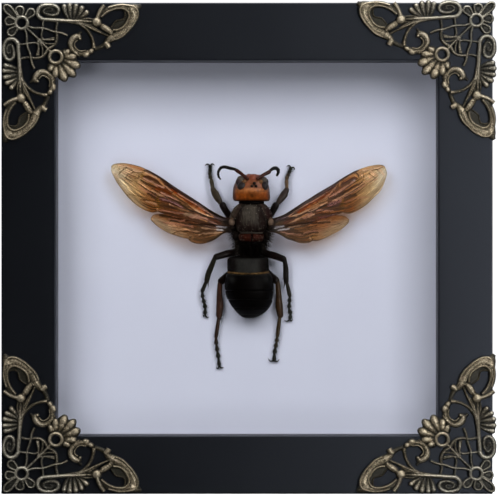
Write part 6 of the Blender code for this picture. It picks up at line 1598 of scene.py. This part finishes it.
make_wing("hindwing_right", 6.9, 37, HINDWING_CELLS, HINDWING_GROUND, HINDWING_STAIN,
    [(5.2, -0.3), (7, -0.3), (10, 0.4), (13, 1.2), (16, 2), (19, 2.75), (23, 2.85), (25, 2.65), (26, 2.3),
     (26.6, 1.8), (26.8, 1.3)],
    [(5.2, -1.9), (6.6, -2.1), (7.6, -2.45), (8.6, -3), (9.3, -3.5), (10, -3.9), (11, -4.15), (12, -4.45),
     (13, -4.85), (14.2, -4.95), (15.5, -4.85), (16.3, -4.65), (16.65, -4.25), (17, -4.3), (18, -4.3),
     (19, -4), (20, -3.6), (21, -3.15), (22.4, -2.4), (24.2, -1.5), (25.6, -0.4), (26.5, 0.5),
      (26.75, 0.9)], [
    (MOSS, 0.9, 0, 0.85, [(26.2, 0.8), (24.6, -0.4), (22.4, -1.5), (20.4, -2.6)]),
    (PLUM, 0.18, 0.05, 0.8, [(20.6, 2.1), (19, 1.9), (17.6, 1.6), (16.8, 1.4)]),
    (CREAM_HIGHLIGHT, 0.14, 0.08, 0.9, [(18.2, 0.95), (19.4, 1.1), (20.6, 1.25), (21.9, 1.4)]),
    (TAN, 0.14, 0.04, 0.7, [(22.4, 2.3), (20.8, 1.7), (19.2, 1.4)]),
    (UMBER, 0.22, -0.06, 0.85, [(21.6, 0.8), (20, 0.75), (18.4, 0.5), (17, 0.45), (16, 0.6)]),
    (PITCH, 0.15, -0.07, 0.9, [(16.6, 0.65), (15, 0.5), (13.8, 0.4), (12.7, 0.1), (11.8, -0.05),
     (10.8, -0.25), (9.6, -0.5)]),
    (GOLD, 0.24, 0.05, 0.7, [(16, -0.1), (18, -0.05), (19.5, -0.15), (20.7, -0.35)]),
    (ROSE_HIGHLIGHT, 0.12, 0.05, 0.8, [(19.9, -0.35), (20.5, -0.15), (21.2, -0.5)]),
    (CREAM_HIGHLIGHT, 0.12, 0.06, 0.75, [(13.6, -0.2), (12.3, -0.3), (11, -0.55), (9.8, -0.8)]),
    (PITCH, 0.12, -0.05, 0.7, [(13.2, -0.6), (12, -0.7), (11, -0.85), (9.8, -1)]),
    (CHALK_GLINT, 0.2, 0.06, 0.9, [(8.8, -0.3), (7.8, -0.4), (7, -0.6), (6.4, -0.85)]),
    (PITCH, 0.12, -0.05, 0.9, [(9.6, -0.65), (8.4, -0.85), (7.4, -1.1), (6.6, -1.3)]),
    (CHALK_GLINT, 0.13, 0.04, 0.85, [(10.4, -0.95), (9.2, -1.1), (8.3, -1.25), (7.4, -1.45)]),
    (AMBER, 0.3, 0, 0.7, [(16.4, -0.8), (14, -0.9), (12, -1.1)]),
    (UMBER, 0.2, -0.06, 0.8, [(12.6, -1.55), (10.8, -1.6), (9, -1.7), (7.9, -1.8)]),
    (ROSE_HIGHLIGHT, 0.15, 0.08, 0.85, [(19.4, -1.4), (17.6, -1.55), (16.2, -1.75), (15, -2), (14.3, -2.3)]),
    (UMBER, 0.15, -0.06, 0.85, [(18.4, -2), (16.8, -2.05), (15.6, -2.4), (14.6, -2.6)]),
    (UMBER, 0.15, -0.06, 0.8, [(14.2, -2.2), (12.6, -1.95), (11, -1.9), (9.4, -1.95)]),
    (ROSE_HIGHLIGHT, 0.15, 0.07, 0.85, [(14.2, -2.85), (12.8, -2.6), (11.5, -2.45), (10.2, -2.35), (9, -2),
     (8, -1.75)]),
    (SEPIA, 0.9, 0, 0.6, [(15.4, -3.7), (13.2, -3.9), (11, -3.4)]),
    (OLIVE, 0.4, 0, 0.5, [(17.8, -2.9), (16.8, -3.3)]),
    (BEIGE, 0.12, 0.05, 0.7, [(15.9, -3.2), (16.35, -3.7), (16.2, -4.4)]),
    (NET, 0.12, -0.04, 0.8, [(16.3, -3), (16.75, -3.6), (16.6, -4.1)]),
    (TAN, 0.13, 0.05, 0.6, [(17.6, -2.6), (18.8, -2.9), (19.6, -3.3)]),
    (PITCH, 0.2, -0.04, 0.85, [(7.2, -2.35), (8.3, -2.8), (9.2, -3.35), (10.2, -3.75), (11.8, -4.15)]),
    (PITCH, 0.5, 0, 0.8, [(6.4, -1.7), (5.2, -1.5)])])

# ---------------------------------------------------------------- studio
# A pale floor, soft boxes in front, and a bright backdrop that only the camera sees.

deselect_all()
bpy.ops.mesh.primitive_plane_add(size=1.3, location=(0, 0, 0))
floor = bpy.context.object
floor.name = "studio_floor"
floor_paint = new_material("studio_floor_white")[0]
set_shader(floor_paint, {"Base Color": (0.9, 0.9, 0.9, 1), "Roughness": 0.9, "Specular IOR Level": 0.1,
                         "Emission Color": (1, 1, 1, 1), "Emission Strength": 0.35})
floor.data.materials.append(floor_paint)


def add_softbox(name, place, aim, size, watts):
    deselect_all()
    bpy.ops.object.light_add(type="AREA", location=place)
    lamp = bpy.context.object
    lamp.name = name
    lamp.data.shape = "RECTANGLE"
    lamp.data.size, lamp.data.size_y = size
    lamp.data.energy = watts
    lamp.rotation_euler = (Vector(aim) - Vector(place)).to_track_quat("-Z", "Y").to_euler()
    return lamp


middle = (0.0, 0.0, 0.066)
for name, place, size, watts in (("window_left", (-0.18, -0.38, 0.32), (0.22, 0.26), 1.02),
                                 ("window_right", (0.17, -0.38, 0.30), (0.22, 0.30), 1.24),
                                 ("room_front", (-0.20, -0.60, 0.07), (0.14, 0.14), 0.45),
                                 ("table_bounce", (0.0, -0.50, -0.16), (0.14, 0.14), 0.26)):
    add_softbox(name, place, middle, size, watts).visible_glossy = False
sheen = add_softbox("sheen_from_right", (0.21, -0.30, 0.066), (0.05, 0.0, 0.066), (0.10, 0.30), 0.118)
sheen.data.spread = math.radians(50)
sheen.visible_diffuse = False
glint = add_softbox("glint_from_corner", (0.30, -0.16, 0.40), (0.05, 0.0, 0.12), (0.12, 0.12), 0.55)
glint.visible_diffuse = False
add_softbox("above_floor", (0.0, 0.12, 1.2), (0.0, 0.1, 0.0), (0.8, 0.8), 17.0)
add_softbox("back_light", (0.5, 1.1, 0.9), middle, (0.9, 0.9), 12.0)
floor.visible_diffuse = False
floor.visible_glossy = False
floor.visible_shadow = False

world = bpy.data.worlds.new("studio_world")
bpy.context.scene.world = world
world.use_nodes = True
plug(world, world.node_tree.nodes["Background"], {"Color": (1, 1, 1, 1), "Strength": 1.05})
backdrop = world.node_tree.nodes["Background"].outputs[0]
seen = add_node(world, "LightPath").outputs
direction = add_node(world, "TexCoord").outputs["Generated"]
dark_front = level(world, add_node(world, "SeparateXYZ", {0: direction}).outputs["Y"], 0.0, 1.0, -0.96, -0.5)
soft_fill = level(world, seen["Is Diffuse Ray"], 0.03, 0.02)
strength = computed(world, "MULTIPLY", dark_front, soft_fill)
ambient = add_node(world, "Background", {"Strength": strength}).outputs[0]
sky = add_node(world, "MixShader", {"Fac": seen["Is Camera Ray"], 1: ambient, 2: backdrop})
plug(world, world.node_tree.nodes["World Output"], {"Surface": sky.outputs[0]})

# Straight at the front, from as far as the photograph was taken
CAMERA_DISTANCE = 1.6
SEEN_WIDTH = 0.13535
SEEN_MIDDLE_X, SEEN_MIDDLE_Z = 0.000315, 0.0663
camera_data = bpy.data.cameras.new("camera")
camera_data.sensor_width = 36
camera_data.lens = 36 * CAMERA_DISTANCE / SEEN_WIDTH
camera_data.clip_start = 0.01
camera = bpy.data.objects.new("camera", camera_data)
bpy.context.scene.collection.objects.link(camera)
camera.location = (SEEN_MIDDLE_X, FRONT_Y - CAMERA_DISTANCE, SEEN_MIDDLE_Z)
camera.rotation_euler = (math.pi / 2, 0, 0)
bpy.context.scene.camera = camera
bpy.context.scene.view_settings.view_transform = "Standard"
